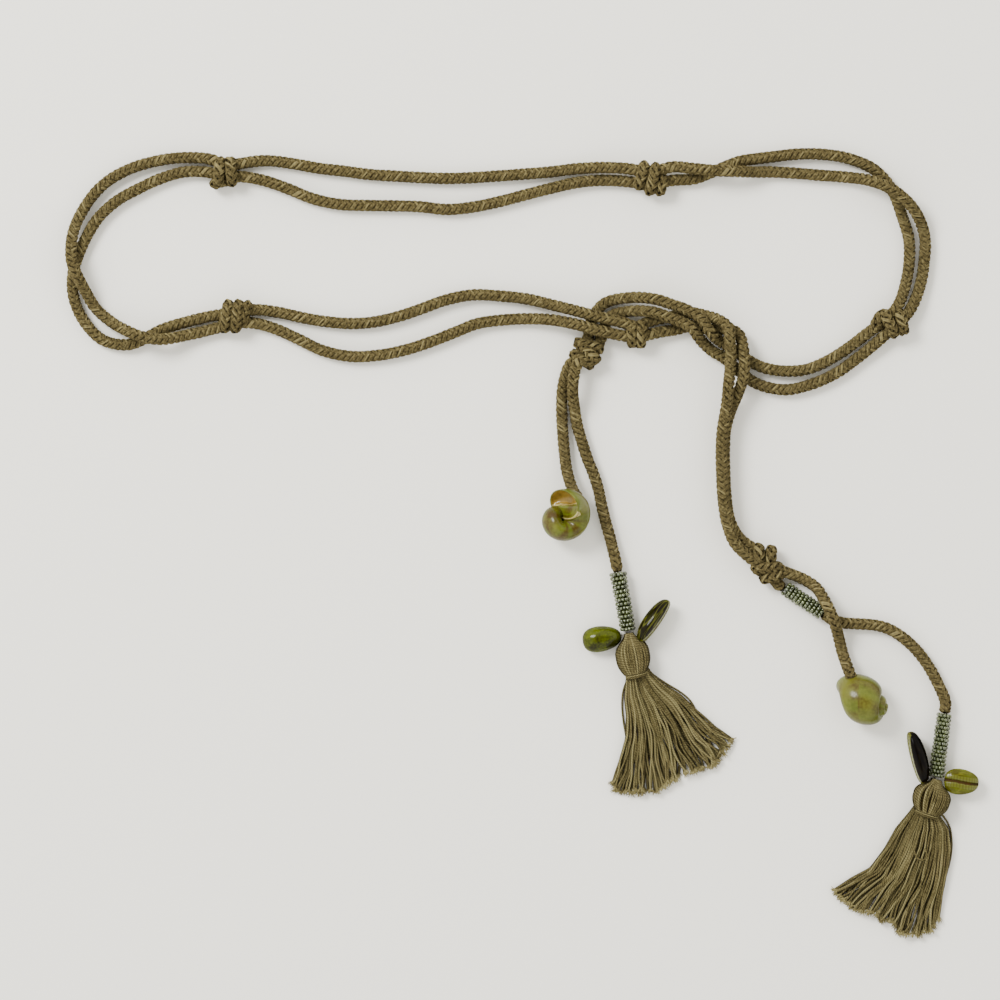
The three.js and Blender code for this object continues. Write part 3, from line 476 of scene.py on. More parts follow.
class Strands:
    """Tubes that become one mesh. Across a tube the texture runs from its number to the next one, and
    along it by the centimetre, from a start of its own."""

    def __init__(self):
        self.points = []
        self.faces = []
        self.texture = []
        self.finishes = []
        self.count = 0

    def tube(self, rings, number=0, spacing=1.0, finish=0):
        rings = np.asarray(rings, float)
        length, sides = rings.shape[:2]
        places = np.arange(length * sides).reshape(length, sides) + self.count
        beside = np.roll(places, -1, axis=1)
        quads = np.stack([places[:-1], beside[:-1], beside[1:], places[1:]], axis=-1)
        u0 = number + np.arange(sides) / sides
        u1 = u0 + 1 / sides
        v = np.arange(length) * spacing / 10 + TUBE_SHIFT * number
        texture = np.empty((length - 1, sides, 4, 2))
        for corner, (u, step) in enumerate(((u0, 0), (u1, 0), (u1, 1), (u0, 1))):
            texture[:, :, corner, 0] = u[None, :]
            texture[:, :, corner, 1] = v[step:length - 1 + step, None]
        self.points.append(rings.reshape(-1, 3))
        self.faces.append(quads.reshape(-1, 4))
        self.texture.append(texture.reshape(-1, 2))
        self.finishes.append(np.broadcast_to(finish, quads.shape[:2]).ravel())
        self.count += length * sides

    def make(self, name, *materials):
        points = np.concatenate(self.points) * METRE
        faces = np.concatenate(self.faces).astype(np.int32)
        mesh = bpy.data.meshes.new(name)
        mesh.vertices.add(len(points))
        mesh.vertices.foreach_set("co", points.astype(np.float32).ravel())
        mesh.loops.add(faces.size)
        mesh.loops.foreach_set("vertex_index", faces.ravel())
        mesh.polygons.add(len(faces))
        mesh.polygons.foreach_set("loop_start", np.arange(0, faces.size, 4, dtype=np.int32))
        mesh.polygons.foreach_set("loop_total", np.full(len(faces), 4, np.int32))
        mesh.polygons.foreach_set("use_smooth", np.ones(len(faces), bool))
        for material in materials:
            mesh.materials.append(material)
        mesh.polygons.foreach_set("material_index", np.concatenate(self.finishes).astype(np.int32))
        layer = mesh.uv_layers.new(name="along and across")
        layer.data.foreach_set("uv", np.concatenate(self.texture).astype(np.float32).ravel())
        mesh.update(calc_edges=True)
        piece = bpy.data.objects.new(name, mesh)
        bpy.context.scene.collection.objects.link(piece)
        return piece


def round_rings(line, across, upward, half_width, half_height, sides):
    """Rings of an oval round each point of a line. The half sizes may change along it."""
    angle = 2 * np.pi * np.arange(sides) / sides
    half_width = np.broadcast_to(half_width, len(line))[:, None, None]
    half_height = np.broadcast_to(half_height, len(line))[:, None, None]
    return (
        line[:, None]
        + across[:, None] * np.cos(angle)[None, :, None] * half_width
        + upward[:, None] * np.sin(angle)[None, :, None] * half_height
    )


def directions(angle, left, up):
    """Out from a line's middle at an angle about it, and round it there."""
    return np.cos(angle) * left + np.sin(angle) * up, -np.sin(angle) * left + np.cos(angle) * up


def thread(strands, line, radius, number=0, sides=6, finish=0):
    """A round tube along a line."""
    _, left, up = level_sides(line)
    spacing = float(np.linalg.norm(line[1] - line[0]))
    strands.tube(round_rings(line, left, up, radius, radius, sides), number, spacing, finish)


def braid(strands, line, spacing, sides=None, start=0.0):
    """A round braid along a line: each strand winds round it, over two others and under two."""
    along, left, up = sides if sides else level_sides(line)
    size = np.ones(len(line))
    for ring, share in enumerate(ROPE_END):
        size[[ring, -1 - ring]] = share
    core = CORE_RADIUS * size
    # The core, in the rope core finish, is painted shade between the strands.
    strands.tube(round_rings(line, left, up, core, core, CORE_SIDES), 2 * STRANDS_EACH_WAY, spacing, 1)
    turns = spacing * (len(line) - 1) / BRAID_PITCH
    winding = 2 * np.pi * (start + np.linspace(0.0, turns, len(line)))
    slant = math.atan(2 * np.pi * BRAID_RADIUS / BRAID_PITCH)
    half_width, half_height = STRAND_HALF_WIDTH * size, STRAND_HALF_HEIGHT * size
    for number in range(2 * STRANDS_EACH_WAY):
        place = number % STRANDS_EACH_WAY
        way = 1 if number < STRANDS_EACH_WAY else -1
        angle = (way * winding + 2 * np.pi * place / STRANDS_EACH_WAY)[:, None]
        rise = way * np.cos(2 * winding + np.pi * place - way * np.pi / 4)[:, None]
        outward, around = directions(angle, left, up)
        forward = unit(along * math.cos(slant) + around * way * math.sin(slant))
        middle = line + outward * size[:, None] * (BRAID_RADIUS + BRAID_RISE * rise)
        across = np.cross(outward, forward)
        rings = round_rings(middle, across, outward, half_width, half_height, STRAND_SIDES)
        strands.tube(rings, number, spacing)


# Finishes: shader nodes

def add(nodes, kind, inputs=(), **settings):
    """A shader node with its settings, and its inputs set to numbers or joined to other nodes."""
    node = nodes.nodes.new(kind)
    for key, value in settings.items():
        setattr(node, key, value)
    for key, value in dict(inputs).items():
        if isinstance(value, bpy.types.NodeSocket):
            nodes.links.new(value, node.inputs[key])
        else:
            node.inputs[key].default_value = value
    return node


def maths(nodes, operation, *values):
    return add(nodes, "ShaderNodeMath", enumerate(values), operation=operation).outputs[0]


def times(nodes, first, second):
    return maths(nodes, "MULTIPLY", first, second)


def between(nodes, value, low, high, to_low=0.0, to_high=1.0):
    """A value that goes softly from to_low to to_high while another goes from low to high."""
    values = {"Value": value, "From Min": low, "From Max": high, "To Min": to_low, "To Max": to_high}
    return add(nodes, "ShaderNodeMapRange", values, interpolation_type="SMOOTHSTEP").outputs[0]


def blend_colours(nodes, share, first, second):
    return add(nodes, "ShaderNodeMix", {0: share, 6: first, 7: second}, data_type="RGBA").outputs[2]


def layered(nodes, body, *layers):
    """A colour with others laid over it. A layer is where it lies, its colour and how much it covers."""
    for mask, tone, cover in layers:
        body = blend_colours(nodes, times(nodes, mask, cover), body, tone)
    return body


def tube_places(nodes):
    """How far a point lies across a tube and along it, from the mesh's texture."""
    texture = add(nodes, "ShaderNodeTexCoord").outputs["UV"]
    parts = add(nodes, "ShaderNodeSeparateXYZ", {"Vector": texture})
    return parts.outputs["X"], parts.outputs["Y"]


def noise(nodes, place, detail, scale=1.0):
    values = {"Vector": place, "Scale": scale, "Detail": detail}
    return add(nodes, "ShaderNodeTexNoise", values).outputs["Fac"]


def flat_noise(nodes, across, along, detail):
    return noise(nodes, add(nodes, "ShaderNodeCombineXYZ", {"X": across, "Y": along}).outputs[0], detail)


def colour(red, green, blue):
    """A colour as seen on the photograph, 0 to 255, made linear."""
    parts = [value / 255 for value in (red, green, blue)]
    return (*[p / 12.92 if p <= 0.04045 else ((p + 0.055) / 1.055) ** 2.4 for p in parts], 1.0)


def palette(**colours):
    return SimpleNamespace(**{name: colour(*value) for name, value in colours.items()})


# Colours are a little deeper than on the photograph, because the picture is developed softly.
# The gap colours are painted shade: in grooves, on the sides of strands and threads, and on the cores. The
# braid's random dark specks use the cotton's gap colour too.
COTTON = palette(gap=(14, 11, 3), shade=(50, 42, 20), middle=(80, 69, 42), light=(106, 95, 61),
                 pale=(138, 126, 84))
TASSEL = palette(gap=(14, 10, 2), shade=(46, 38, 12), middle=(72, 64, 35), light=(100, 90, 57),
                 pale=(156, 146, 100))
BEADS = palette(dark=(18, 26, 6), light=(92, 102, 48))
SNAIL = palette(brown=(60, 44, 4), green=(72, 80, 10), light=(108, 112, 40), inside_dark=(98, 76, 16),
                inside=(140, 112, 34), pink=(140, 116, 66), cream=(168, 158, 100))
COWRIE_MOUTH = palette(tooth=(86, 90, 20), groove=(76, 74, 14), slit=(66, 42, 8))
COWRIES_DYED = {
    "left_flat": palette(dark=(30, 30, 2), green=(76, 84, 5), end=(30, 20, 4), line=(34, 28, 2)),
    "left_edge": palette(dark=(14, 7, 2), green=(28, 28, 4), end=(54, 62, 9), line=(100, 102, 32)),
    "right_edge": palette(dark=(1, 0, 0), green=(9, 5, 2), end=(96, 86, 46), line=(34, 30, 14)),
    "right_open": palette(dark=(64, 60, 6), green=(82, 88, 12), end=(72, 60, 8), line=(110, 110, 34)),
}
# How strongly each cowrie is lined, and how glossy it is.
COWRIES_FINISHED = {
    "left_flat": (0.3, 0.3), "left_edge": (0.5, 0.18), "right_edge": (0.25, 0.12), "right_open": (0.4, 0.28)
}
BOARD_COLOUR = colour(252, 249, 237)
BOARD_SIZE = 6


def shared_effect(recipe, **inputs):
    """A shader node group. Its recipe takes the named inputs and gives the named outputs."""
    group = bpy.data.node_groups.new(recipe.__name__.replace("_", " "), "ShaderNodeTree")
    for label, value in inputs.items():
        socket = group.interface.new_socket(
            label.replace("_", " "), in_out="INPUT", socket_type="NodeSocketFloat"
        )
        socket.default_value = value
    results = recipe(group, group.nodes.new("NodeGroupInput").outputs)
    for label in results:
        group.interface.new_socket(label, in_out="OUTPUT", socket_type="NodeSocketFloat")
    out = group.nodes.new("NodeGroupOutput")
    for label, value in results.items():
        group.links.new(value, out.inputs[label])
    return group


def uneven_dye(nodes, given):
    """Soft patches where dye or wear took more or less, over any surface."""
    place = add(nodes, "ShaderNodeTexCoord").outputs["Object"]
    scale = maths(nodes, "DIVIDE", 1 / METRE, given["Patch size mm"])
    broad = noise(nodes, place, 3.0, scale)
    fine = noise(nodes, place, 2.0, times(nodes, scale, 7.0))
    mixed = add(nodes, "ShaderNodeMix", {0: given["Fine share"], 2: broad, 3: fine}, data_type="FLOAT")
    return {"Patches": between(nodes, mixed.outputs[0], 0.33, 0.67)}


def cotton_fibres(nodes, given):
    """Fine fibres that run along a tube, with a slight twist."""
    across, along = tube_places(nodes)
    twisted = maths(nodes, "MULTIPLY_ADD", along, given["Twist"], across)
    streaks = flat_noise(nodes, times(nodes, twisted, given["Across"]), times(nodes, along, 9.0), 3.0)
    return {"Streaks": between(nodes, streaks, 0.3, 0.7)}


def twisted_plies(nodes, given):
    """Plies twisted round each other: grooves that wind round a thread."""
    across, along = tube_places(nodes)
    turns = maths(nodes, "MULTIPLY_ADD", along, given["Turns per cm"], across)
    wave = maths(nodes, "SINE", times(nodes, times(nodes, turns, given["Plies"]), 2 * math.pi))
    height = maths(nodes, "MULTIPLY_ADD", wave, 0.5, 0.5)
    return {"Groove": between(nodes, wave, 0.3, -1.0), "Height": height}


def yarns_side_by_side(nodes, given):
    """Yarns that lie side by side in a flat strand: grooves along it, and one yarn paler here and there."""
    across, along = tube_places(nodes)
    across = times(nodes, times(nodes, across, given["Yarns across"]), 2.0)
    wave = maths(nodes, "ABSOLUTE", maths(nodes, "SINE", times(nodes, across, math.pi)))
    yarn = times(nodes, maths(nodes, "FLOOR", across), 3.7)
    chance = flat_noise(nodes, yarn, times(nodes, along, 0.35), 0.0)
    edge = maths(nodes, "SUBTRACT", 0.72, times(nodes, given["Pale share"], 0.5))
    pale = between(nodes, chance, edge, maths(nodes, "ADD", edge, 0.05))
    return {"Groove": between(nodes, wave, 0.55, 0.0), "Height": wave, "Pale": pale}


def painted_side_shade(nodes, given):
    """A mask that is 1 on the side of a thread or strand that faces out and falls to 0 towards its sides,
    where the materials lay painted shade.
    """
    across, _ = tube_places(nodes)
    from_crown = maths(nodes, "ABSOLUTE", maths(nodes, "SUBTRACT", maths(nodes, "FRACT", across), 0.25))
    return {"Crown": between(nodes, from_crown, given["Width"], 0.0)}


def tone_by_thread(nodes, given):
    """A tone of its own for each tube of a piece, from 0 to 1."""
    across, _ = tube_places(nodes)
    number = maths(nodes, "ADD", maths(nodes, "FLOOR", across), given["Shift"])
    tone = add(nodes, "ShaderNodeTexWhiteNoise", {"W": number}, noise_dimensions="1D")
    return {"Tone": tone.outputs["Value"]}


def growth_bands(nodes, given):
    """Lines and bands of growth across a snail's whorl."""
    across, along = tube_places(nodes)
    around = times(nodes, across, 1.4)
    along = times(nodes, along, given["Bands per turn"])
    bands = flat_noise(nodes, around, along, 1.0)
    lines = flat_noise(nodes, around, times(nodes, along, 9.0), 2.0)
    return {"Bands": between(nodes, bands, 0.35, 0.65), "Lines": lines}


def lengthwise_lines(nodes, given):
    """Thin wavy lines that run along a cowrie."""
    across, along = tube_places(nodes)
    wavy = flat_noise(nodes, times(nodes, across, given["Lines around"]), times(nodes, along, 2.2), 1.0)
    away = maths(nodes, "ABSOLUTE", maths(nodes, "SUBTRACT", wavy, 0.5))
    return {"Lines": between(nodes, away, 0.05, 0.0)}


effects = SimpleNamespace(
    dye=shared_effect(uneven_dye, Patch_size_mm=8.0, Fine_share=0.4),
    fibres=shared_effect(cotton_fibres, Across=10.0, Twist=1.0),
    plies=shared_effect(twisted_plies, Turns_per_cm=2.6, Plies=3.0),
    yarns=shared_effect(yarns_side_by_side, Yarns_across=4.0, Pale_share=0.3),
    crown=shared_effect(painted_side_shade, Width=0.2),
    tone=shared_effect(tone_by_thread, Shift=0.0),
    growth=shared_effect(growth_bands, Bands_per_turn=5.0),
    lines=shared_effect(lengthwise_lines, Lines_around=11.0),
)


def placed(nodes, group, **inputs):
    """One of the shared effects, with this material's own values."""
    node = add(nodes, "ShaderNodeGroup", node_tree=group)
    for label, value in inputs.items():
        node.inputs[label.replace("_", " ")].default_value = value
    return node.outputs


def new_finish(name, roughness, **constants):
    """A material with its Principled shader. Constants are set on the shader's own sockets."""
    material = bpy.data.materials.new(name)
    material.use_nodes = True
    nodes = material.node_tree
    shader = next(n for n in nodes.nodes if n.type == "BSDF_PRINCIPLED")
    shader.inputs["Roughness"].default_value = roughness
    for label, value in constants.items():
        shader.inputs[label.replace("_", " ")].default_value = value
    return material, nodes, shader


def raised(nodes, shader, height, depth, strength=1.0):
    """Feeds the shader's normal from a height, with its depth in millimetres."""
    bump = add(nodes, "ShaderNodeBump", {"Height": height, "Distance": depth * METRE, "Strength": strength})
    nodes.links.new(bump.outputs["Normal"], shader.inputs["Normal"])


def paint(nodes, shader, value):
    nodes.links.new(value, shader.inputs["Base Color"])


def braided_cotton():
    material, nodes, shader = new_finish("braided cotton", 0.95, Specular_IOR_Level=0.06)
    fibres = placed(nodes, effects.fibres, Across=9.0, Twist=0.6)
    yarns = placed(nodes, effects.yarns, Yarns_across=4.0, Pale_share=0.17)
    specks = placed(nodes, effects.dye, Patch_size_mm=1.2, Fine_share=0.4)["Patches"]
    twist = placed(nodes, effects.plies, Turns_per_cm=0.8, Plies=8.0)
    dye = placed(nodes, effects.dye, Patch_size_mm=7.0, Fine_share=0.5)
    crown = placed(nodes, effects.crown, Width=0.27)
    body = layered(
        nodes, blend_colours(nodes, fibres["Streaks"], COTTON.shade, COTTON.middle),
        (dye["Patches"], COTTON.light, 0.45),
        # A painted highlight on the raised twist of each yarn.
        (twist["Height"], COTTON.light, 0.45),
        (between(nodes, specks, 0.55, 1.0), COTTON.pale, 0.5),
        (between(nodes, specks, 0.45, 0.0), COTTON.gap, 0.6),
        (yarns["Pale"], COTTON.pale, 0.6),
        # Painted shade in the grooves between yarns.
        (yarns["Groove"], COTTON.gap, 0.4),
    )
    # The sides of each strand are painted in the dark gap colour: painted shade between neighbouring
    # strands.
    paint(nodes, shader, blend_colours(nodes, between(nodes, crown["Crown"], 0.0, 0.35), COTTON.gap, body))
    raised(nodes, shader, maths(nodes, "MULTIPLY_ADD", twist["Height"], 0.6, yarns["Height"]), 0.2)
    return material


# The core shows only between strands, beads and threads, so it is painted in the gap and shade colours:
# painted shade.
def rope_core():
    material, nodes, shader = new_finish("rope core", 1.0, Specular_IOR_Level=0.0)
    fibres = placed(nodes, effects.fibres, Across=12.0, Twist=0.0)
    paint(nodes, shader, blend_colours(nodes, fibres["Streaks"], COTTON.gap, COTTON.shade))
    return material


def twisted_cotton():
    material, nodes, shader = new_finish("twisted tassel cotton", 0.95, Specular_IOR_Level=0.06)
    plies = placed(nodes, effects.plies, Turns_per_cm=2.6, Plies=3.0)
    fibres = placed(nodes, effects.fibres, Across=4.0, Twist=2.0)
    dye = placed(nodes, effects.dye, Patch_size_mm=14.0, Fine_share=0.5)
    crown = placed(nodes, effects.crown, Width=0.27)
    tone = placed(nodes, effects.tone)["Tone"]
    body = layered(
        nodes, blend_colours(nodes, dye["Patches"], TASSEL.middle, TASSEL.light),
        (between(nodes, tone, 0.45, 1.0), TASSEL.shade, 0.6),
        (between(nodes, tone, 0.4, 0.0), TASSEL.pale, 0.5),
        (fibres["Streaks"], TASSEL.pale, 0.3),
        # Painted shade in the grooves between plies.
        (plies["Groove"], TASSEL.gap, 0.6),
    )
    # The sides of each thread are painted in the dark gap colour: painted shade between neighbouring
    # threads.
    paint(nodes, shader, blend_colours(nodes, between(nodes, crown["Crown"], 0.0, 0.8), TASSEL.gap, body))
    raised(nodes, shader, plies["Height"], 0.18)
    return material


def two_tones(name, roughness, patch, fine, dark, light, **constants):
    """A finish in soft patches of two tones, with their size in millimetres and the share of fine ones."""
    material, nodes, shader = new_finish(name, roughness, **constants)
    dye = placed(nodes, effects.dye, Patch_size_mm=patch, Fine_share=fine)
    paint(nodes, shader, blend_colours(nodes, dye["Patches"], dark, light))
    return material


def snail_outside():
    material, nodes, shader = new_finish(
        "green snail shell", 0.4, Specular_IOR_Level=0.05, Coat_Weight=0.34, Coat_Roughness=0.2
    )
    growth = placed(nodes, effects.growth, Bands_per_turn=9.0)
    dye = placed(nodes, effects.dye, Patch_size_mm=9.0, Fine_share=0.25)
    body = blend_colours(nodes, growth["Bands"], SNAIL.brown, SNAIL.green)
    paint(nodes, shader, layered(nodes, body, (dye["Patches"], SNAIL.light, 0.6)))
    raised(nodes, shader, growth["Lines"], 0.12, 0.6)
    return material


def cowrie_back(name, dyed):
    """The glossy back of a cowrie, darker in patches and of another colour at both ends."""
    lined, gloss = COWRIES_FINISHED[name]
    material, nodes, shader = new_finish(
        f"cowrie back {name}", 0.3, Specular_IOR_Level=0.0, Coat_Weight=gloss, Coat_Roughness=0.08
    )
    dye = placed(nodes, effects.dye, Patch_size_mm=7.0, Fine_share=0.3)
    lines = placed(nodes, effects.lines, Lines_around=11.0)
    _, along = tube_places(nodes)
    from_middle = maths(nodes, "ABSOLUTE", maths(nodes, "SUBTRACT", along, 0.5))
    body = blend_colours(nodes, dye["Patches"], dyed.dark, dyed.green)
    tip = between(nodes, from_middle, 0.36, 0.49)
    layers = (lines["Lines"], dyed.line, lined), (tip, dyed.end, 0.75)
    paint(nodes, shader, layered(nodes, body, *layers))
    return material


def cowrie_teeth():
    material, nodes, shader = new_finish("cowrie teeth", 0.3, Specular_IOR_Level=0.15, Coat_Weight=0.4)
    _, along = tube_places(nodes)
    wave = maths(nodes, "SINE", times(nodes, along, 2 * math.pi * COWRIE_SHAPE.teeth))
    tooth = between(nodes, wave, -0.4, 0.5)
    paint(nodes, shader, blend_colours(nodes, tooth, COWRIE_MOUTH.groove, COWRIE_MOUTH.tooth))
    return material


# Pieces

def finish_piece(piece, slot, *nodes):
    """A piece of the belt that stands for CAD nodes."""
    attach(piece, "root")
    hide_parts(*nodes)


def rope_piece(name, line):
    """One braided rope, from one part of the belt to another."""
    line = evenly(above_surface(line), ROPE_STEP)
    steps = np.linalg.norm(np.diff(line, axis=0), axis=1)
    strands = Strands()
    braid(strands, line, float(steps.mean()), start=random.uniform(0, 1))
    rope = strands.make(f"braided_{name}", looks.cotton, looks.core)
    finish_piece(rope, "cotton_rope", name)


def all_ropes():
    """Both ropes of each pair, then the single ones."""
    for pair, rows in PAIRS.items():
        for side, line in zip("ab", pair_lines(rows)):
            rope_piece(f"{pair}_{side}", line)
    for tail in TAILS:
        if tail != STUB:
            rope_piece(tail, tail_line(tail))


def knot_way(name):
    """The rope's way through a knot, with the level direction square to each turn beside each point.
    It goes once round each oval, and moves over to the next one in the last part of the turn."""
    middle = on_board(*KNOTS[name])
    ovals = np.array(WRAPS[name], float)
    rows = []
    for place, oval in enumerate(ovals):
        after = ovals[min(place + 1, len(ovals) - 1)]
        for share in np.arange(TURN_STEPS) / TURN_STEPS:
            moved = min(1.0, max(0.0, (share - MOVES_OVER) / (1 - MOVES_OVER)))
            moved = moved * moved * (3 - 2 * moved)
            right, back, turn, half_length, half_height = (1 - moved) * oval + moved * after
            turn = math.radians(turn)
            angle = 2 * math.pi * share - math.pi / 2
            point = middle + np.array([right, back, half_height]) * ROPE_DIAMETER
            point[2] += LOWEST_CENTRE
            reach = math.cos(angle) * half_length * ROPE_DIAMETER
            point += np.array([math.cos(turn), math.sin(turn), 0.0]) * reach
            point[2] += math.sin(angle) * half_height * ROPE_DIAMETER
            rows.append([*point, -math.sin(turn), math.cos(turn), 0.0])
    return np.array(rows)


def knot_piece(name):
    """The braided rope's turns in one knot."""
    way = evenly(knot_way(name), KNOT_STEP)
    line = above_surface(way[:, :3])
    along = unit(np.gradient(line, axis=0))
    left = unit(way[:, 3:] - along * np.sum(way[:, 3:] * along, axis=1, keepdims=True))
    strands = Strands()
    braid(strands, line, KNOT_STEP, (along, left, np.cross(along, left)), start=random.uniform(0, 1))
    if name == STUB_KNOT:
        braid(strands, above_surface(tail_line(STUB)), ROPE_STEP)
    knot = strands.make(f"tied_knot_{name}", looks.cotton, looks.core)
    finish_piece(knot, "cotton_rope", f"knot_{name}")


def bead_rings(middle, outward, around, along, size):
    """A seed bead: a fat ring with its hole going round the sleeve."""
    turn = 2 * np.pi * np.arange(BEAD_SIDES) / BEAD_SIDES
    section = 2 * np.pi * np.arange(BEAD_SECTION) / BEAD_SECTION
    radius = (BEAD_RADIUS + BEAD_HOLE) / 2 * size
    thick = (BEAD_RADIUS - BEAD_HOLE) / 2 * size
    rings = [
        middle
        + direction * (radius + thick * np.cos(section))[:, None]
        - around * (BEAD_LENGTH / 2 * size * np.sin(section))[:, None]
        for direction in np.cos(turn)[:, None] * outward + np.sin(turn)[:, None] * along
    ]
    return [*rings, rings[0]]


def bead_sleeve(name):
    """Seed beads in rows round a thin core, each row turned and tilted a little from the last one."""
    start, end, along = sleeve_axis(name)
    *_, start_diameter, end_diameter = SLEEVES[name]
    length = np.linalg.norm(end - start)
    rows = round((length - 2 * BEAD_RADIUS) / BEAD_PITCH) + 1
    beads = Strands()
    steps = SLEEVE_CORE.steps
    core = np.linspace(start + along * SLEEVE_CORE.shorter, end - along * SLEEVE_CORE.shorter, steps)
    taper = np.linspace(start_diameter, end_diameter, steps) / 2 - SLEEVE_CORE.thinner * BEAD_RADIUS
    _, lefts, ups = level_sides(core)
    left, up = lefts[0], ups[0]
    # The thin core under the beads is in the rope core finish: painted shade between the beads.
    beads.tube(round_rings(core, lefts, ups, taper, taper, SLEEVE_CORE.sides), finish=1)
    for row in range(rows):
        share = (row + 0.5) / rows
        centre = start + along * (BEAD_RADIUS + (length - 2 * BEAD_RADIUS) * row / (rows - 1))
        centre[2] += SLEEVE_FULLER
        diameter = start_diameter + (end_diameter - start_diameter) * share
        radius = diameter / 2 - BEAD_RADIUS + SLEEVE_FULLER
        for place in range(BEADS_AROUND):
            aside = random.uniform(-BEADS_VARY.aside, BEADS_VARY.aside)
            angle = 2 * math.pi * (place + 0.5 * (row % 2) + aside) / BEADS_AROUND
            outward, around = directions(angle, left, up)
            size = random.uniform(*BEADS_VARY.size)
            middle = centre + outward * (radius - BEADS_VARY.sunk * random.random())
            forward = random.uniform(-BEADS_VARY.forward, BEADS_VARY.forward)
            middle = middle + along * (BEADS_VARY.slant * math.cos(angle) + forward)
            beads.tube(bead_rings(middle, outward, around, along, size))
    sleeve = beads.make(f"beads_{name}", looks.beads, looks.core)
    finish_piece(sleeve, "glass_beads", f"bead_sleeve_{name}")


def turned(points, *turns):
    """Points turned about the axes in the order given, in degrees."""
    for axis, degrees in turns:
        matrix = np.array(Matrix.Rotation(math.radians(degrees), 3, axis))
        points = points @ matrix.T
    return points


def stood_on(points, node):
    """Points moved so that their lowest touches the bottom of the CAD node's box, and they have its
    middle."""
    low, high = (np.array(corner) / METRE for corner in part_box(node))
    flat = points.reshape(-1, 3)
    own_low, own_high = flat.min(0), flat.max(0)
    move = (low + high) / 2 - (own_low + own_high) / 2
    move[2] = low[2] - own_low[2]
    return points + move


def snail_shell(name):
    """A shell wound from its tip to its mouth, with a lip and a shallow bowl in the mouth."""
    share, spin, tip, heading, slimmer, longer, further = SHELLS[name]
    size = SHELL_SIZE * share
    side = 2 * np.pi * np.arange(WHORL_SIDES) / WHORL_SIDES

    def section(turn, thinner=0.0):
        """A ring of the whorl, a share of a turn after the mouth."""
        growth = size * WHORL.widening ** turn
        radius = WHORL.mouth_radius * growth - thinner
        begun = np.clip((turn + WHORL.turns) / WHORL.rounded_start, 0, 1)
        radius = radius * np.sqrt(1 - WHORL.closing * (1 - begun) ** 2)
        offset = (WHORL.mouth_offset * growth + radius * np.cos(side)) * slimmer
        drop = WHORL.mouth_drop * growth - radius * WHORL.section_height * np.sin(side)
        angle = 2 * np.pi * turn
        return np.stack([offset * np.cos(angle), offset * np.sin(angle), drop * longer], axis=1)

    outside = [section(turn) for turn in np.arange(-WHORL.turns, 1e-6, 1 / WHORL_STEPS)]
    lip = [section(*place) for place in SHELL_LIP]
    mouth = WHORL.mouth_radius * size
    inside, marks = [], []
    for deep in np.linspace(0.0, MOUTH.reach * math.pi / 2, MOUTH.steps):
        thinner = SHELL_WALL + (mouth - SHELL_WALL) * (1 - math.cos(deep))
        across = (1 - thinner / mouth) * np.cos(side)
        bulge = np.clip(0.5 - MOUTH.steepness * across, 0, 1)
        inside.append(section(-MOUTH.depth * math.sin(deep) * (1 - MOUTH.bulge * bulge), thinner))
        marks.append(np.where(across < MOUTH.wall_ends, 0, np.where(across < MOUTH.callus_ends, 2, 1)))
    rings = np.array(outside + lip + inside)
    finishes = np.zeros((len(rings) - 1, WHORL_SIDES), int)
    first_inside = len(outside) + len(lip) - 1
    finishes[first_inside:] = marks
    finishes[len(outside) - MOUTH.pale_rings:first_inside, np.cos(side) < MOUTH.pale_side] = 2
    turns = ("Z", spin + further), ("Y", -tip), ("Z", heading)
    rings = stood_on(turned(rings.reshape(-1, 3), *turns).reshape(rings.shape), f"snail_shell_{name}")
    whorls = Strands()
    whorls.tube(rings, 0, 10 / WHORL_STEPS, finishes)
    shell = whorls.make(f"whorls_{name}", looks.snail, looks.snail_inside, looks.callus)
    finish_piece(shell, "snail_shell", f"snail_shell_{name}")


def cowrie(name):
    """A cowrie's egg shape with a flatter belly, and a slit between two rows of teeth in it."""
    length, width, height, turn, roll, longer, flatter, aside = COWRIES[name]
    length, height, turn = length * longer, height * flatter, turn + aside
    shape = COWRIE_SHAPE
    steps = shape.steps
    share = 0.5 - 0.5 * np.cos(np.pi * np.linspace(shape.tip, 1 - shape.tip, steps))
    along = 2 * share[:, None] - 1
    angle = 2 * np.pi * np.arange(steps)[None, :] / steps
    girth = np.sqrt(np.clip(1 - along**2, 0, None)) ** shape.bluntness
    broad = girth * (1 - shape.narrowing * along)
    y = broad * np.cos(angle) * width / 2
    rise = np.sin(angle)
    on_belly = rise < 0
    z = np.where(on_belly, rise * shape.belly, rise) * girth * (height / (1 + shape.belly))
    from_slit = np.abs(y - shape.slit_bend * np.sin(2 * along)) / width
    slit = np.exp(-((from_slit / shape.slit_width) ** 2)) * on_belly
    teeth_band = np.clip(1 - from_slit / shape.teeth_width, 0, 1) * on_belly
    waves = np.cos(2 * np.pi * shape.teeth * share)[:, None]
    z = z + slit * shape.slit_depth * height - teeth_band * waves * shape.teeth_height
    x = np.broadcast_to(along * length / 2, y.shape)
    rings = turned(np.stack([x, y, z], axis=-1).reshape(-1, 3), ("X", roll), ("Z", turn))
    rings = stood_on(rings.reshape(steps, steps, 3), f"cowrie_{name}")
    finishes = np.where(slit > shape.slit_mark, 2, np.where(teeth_band > shape.teeth_mark, 1, 0))[:-1]
    body = Strands()
    body.tube(rings, 0, 10 / steps, finishes)
    shell = body.make(f"glossy_cowrie_{name}", looks.cowries[name], looks.teeth, looks.slit)
    finish_piece(shell, "cowrie_shell", f"cowrie_{name}")


def outline_point(edge, share):
    """A point of one of a skirt's edges, at a share of its length."""
    points = np.array(edge, float) * OUTLINE_PIXEL
    steps = np.concatenate([[0.0], np.cumsum(np.linalg.norm(np.diff(points, axis=0), axis=1))])
    wanted = np.asarray(share) * steps[-1]
    return np.stack([np.interp(wanted, steps, points[:, k]) for k in (0, 1)], axis=-1)


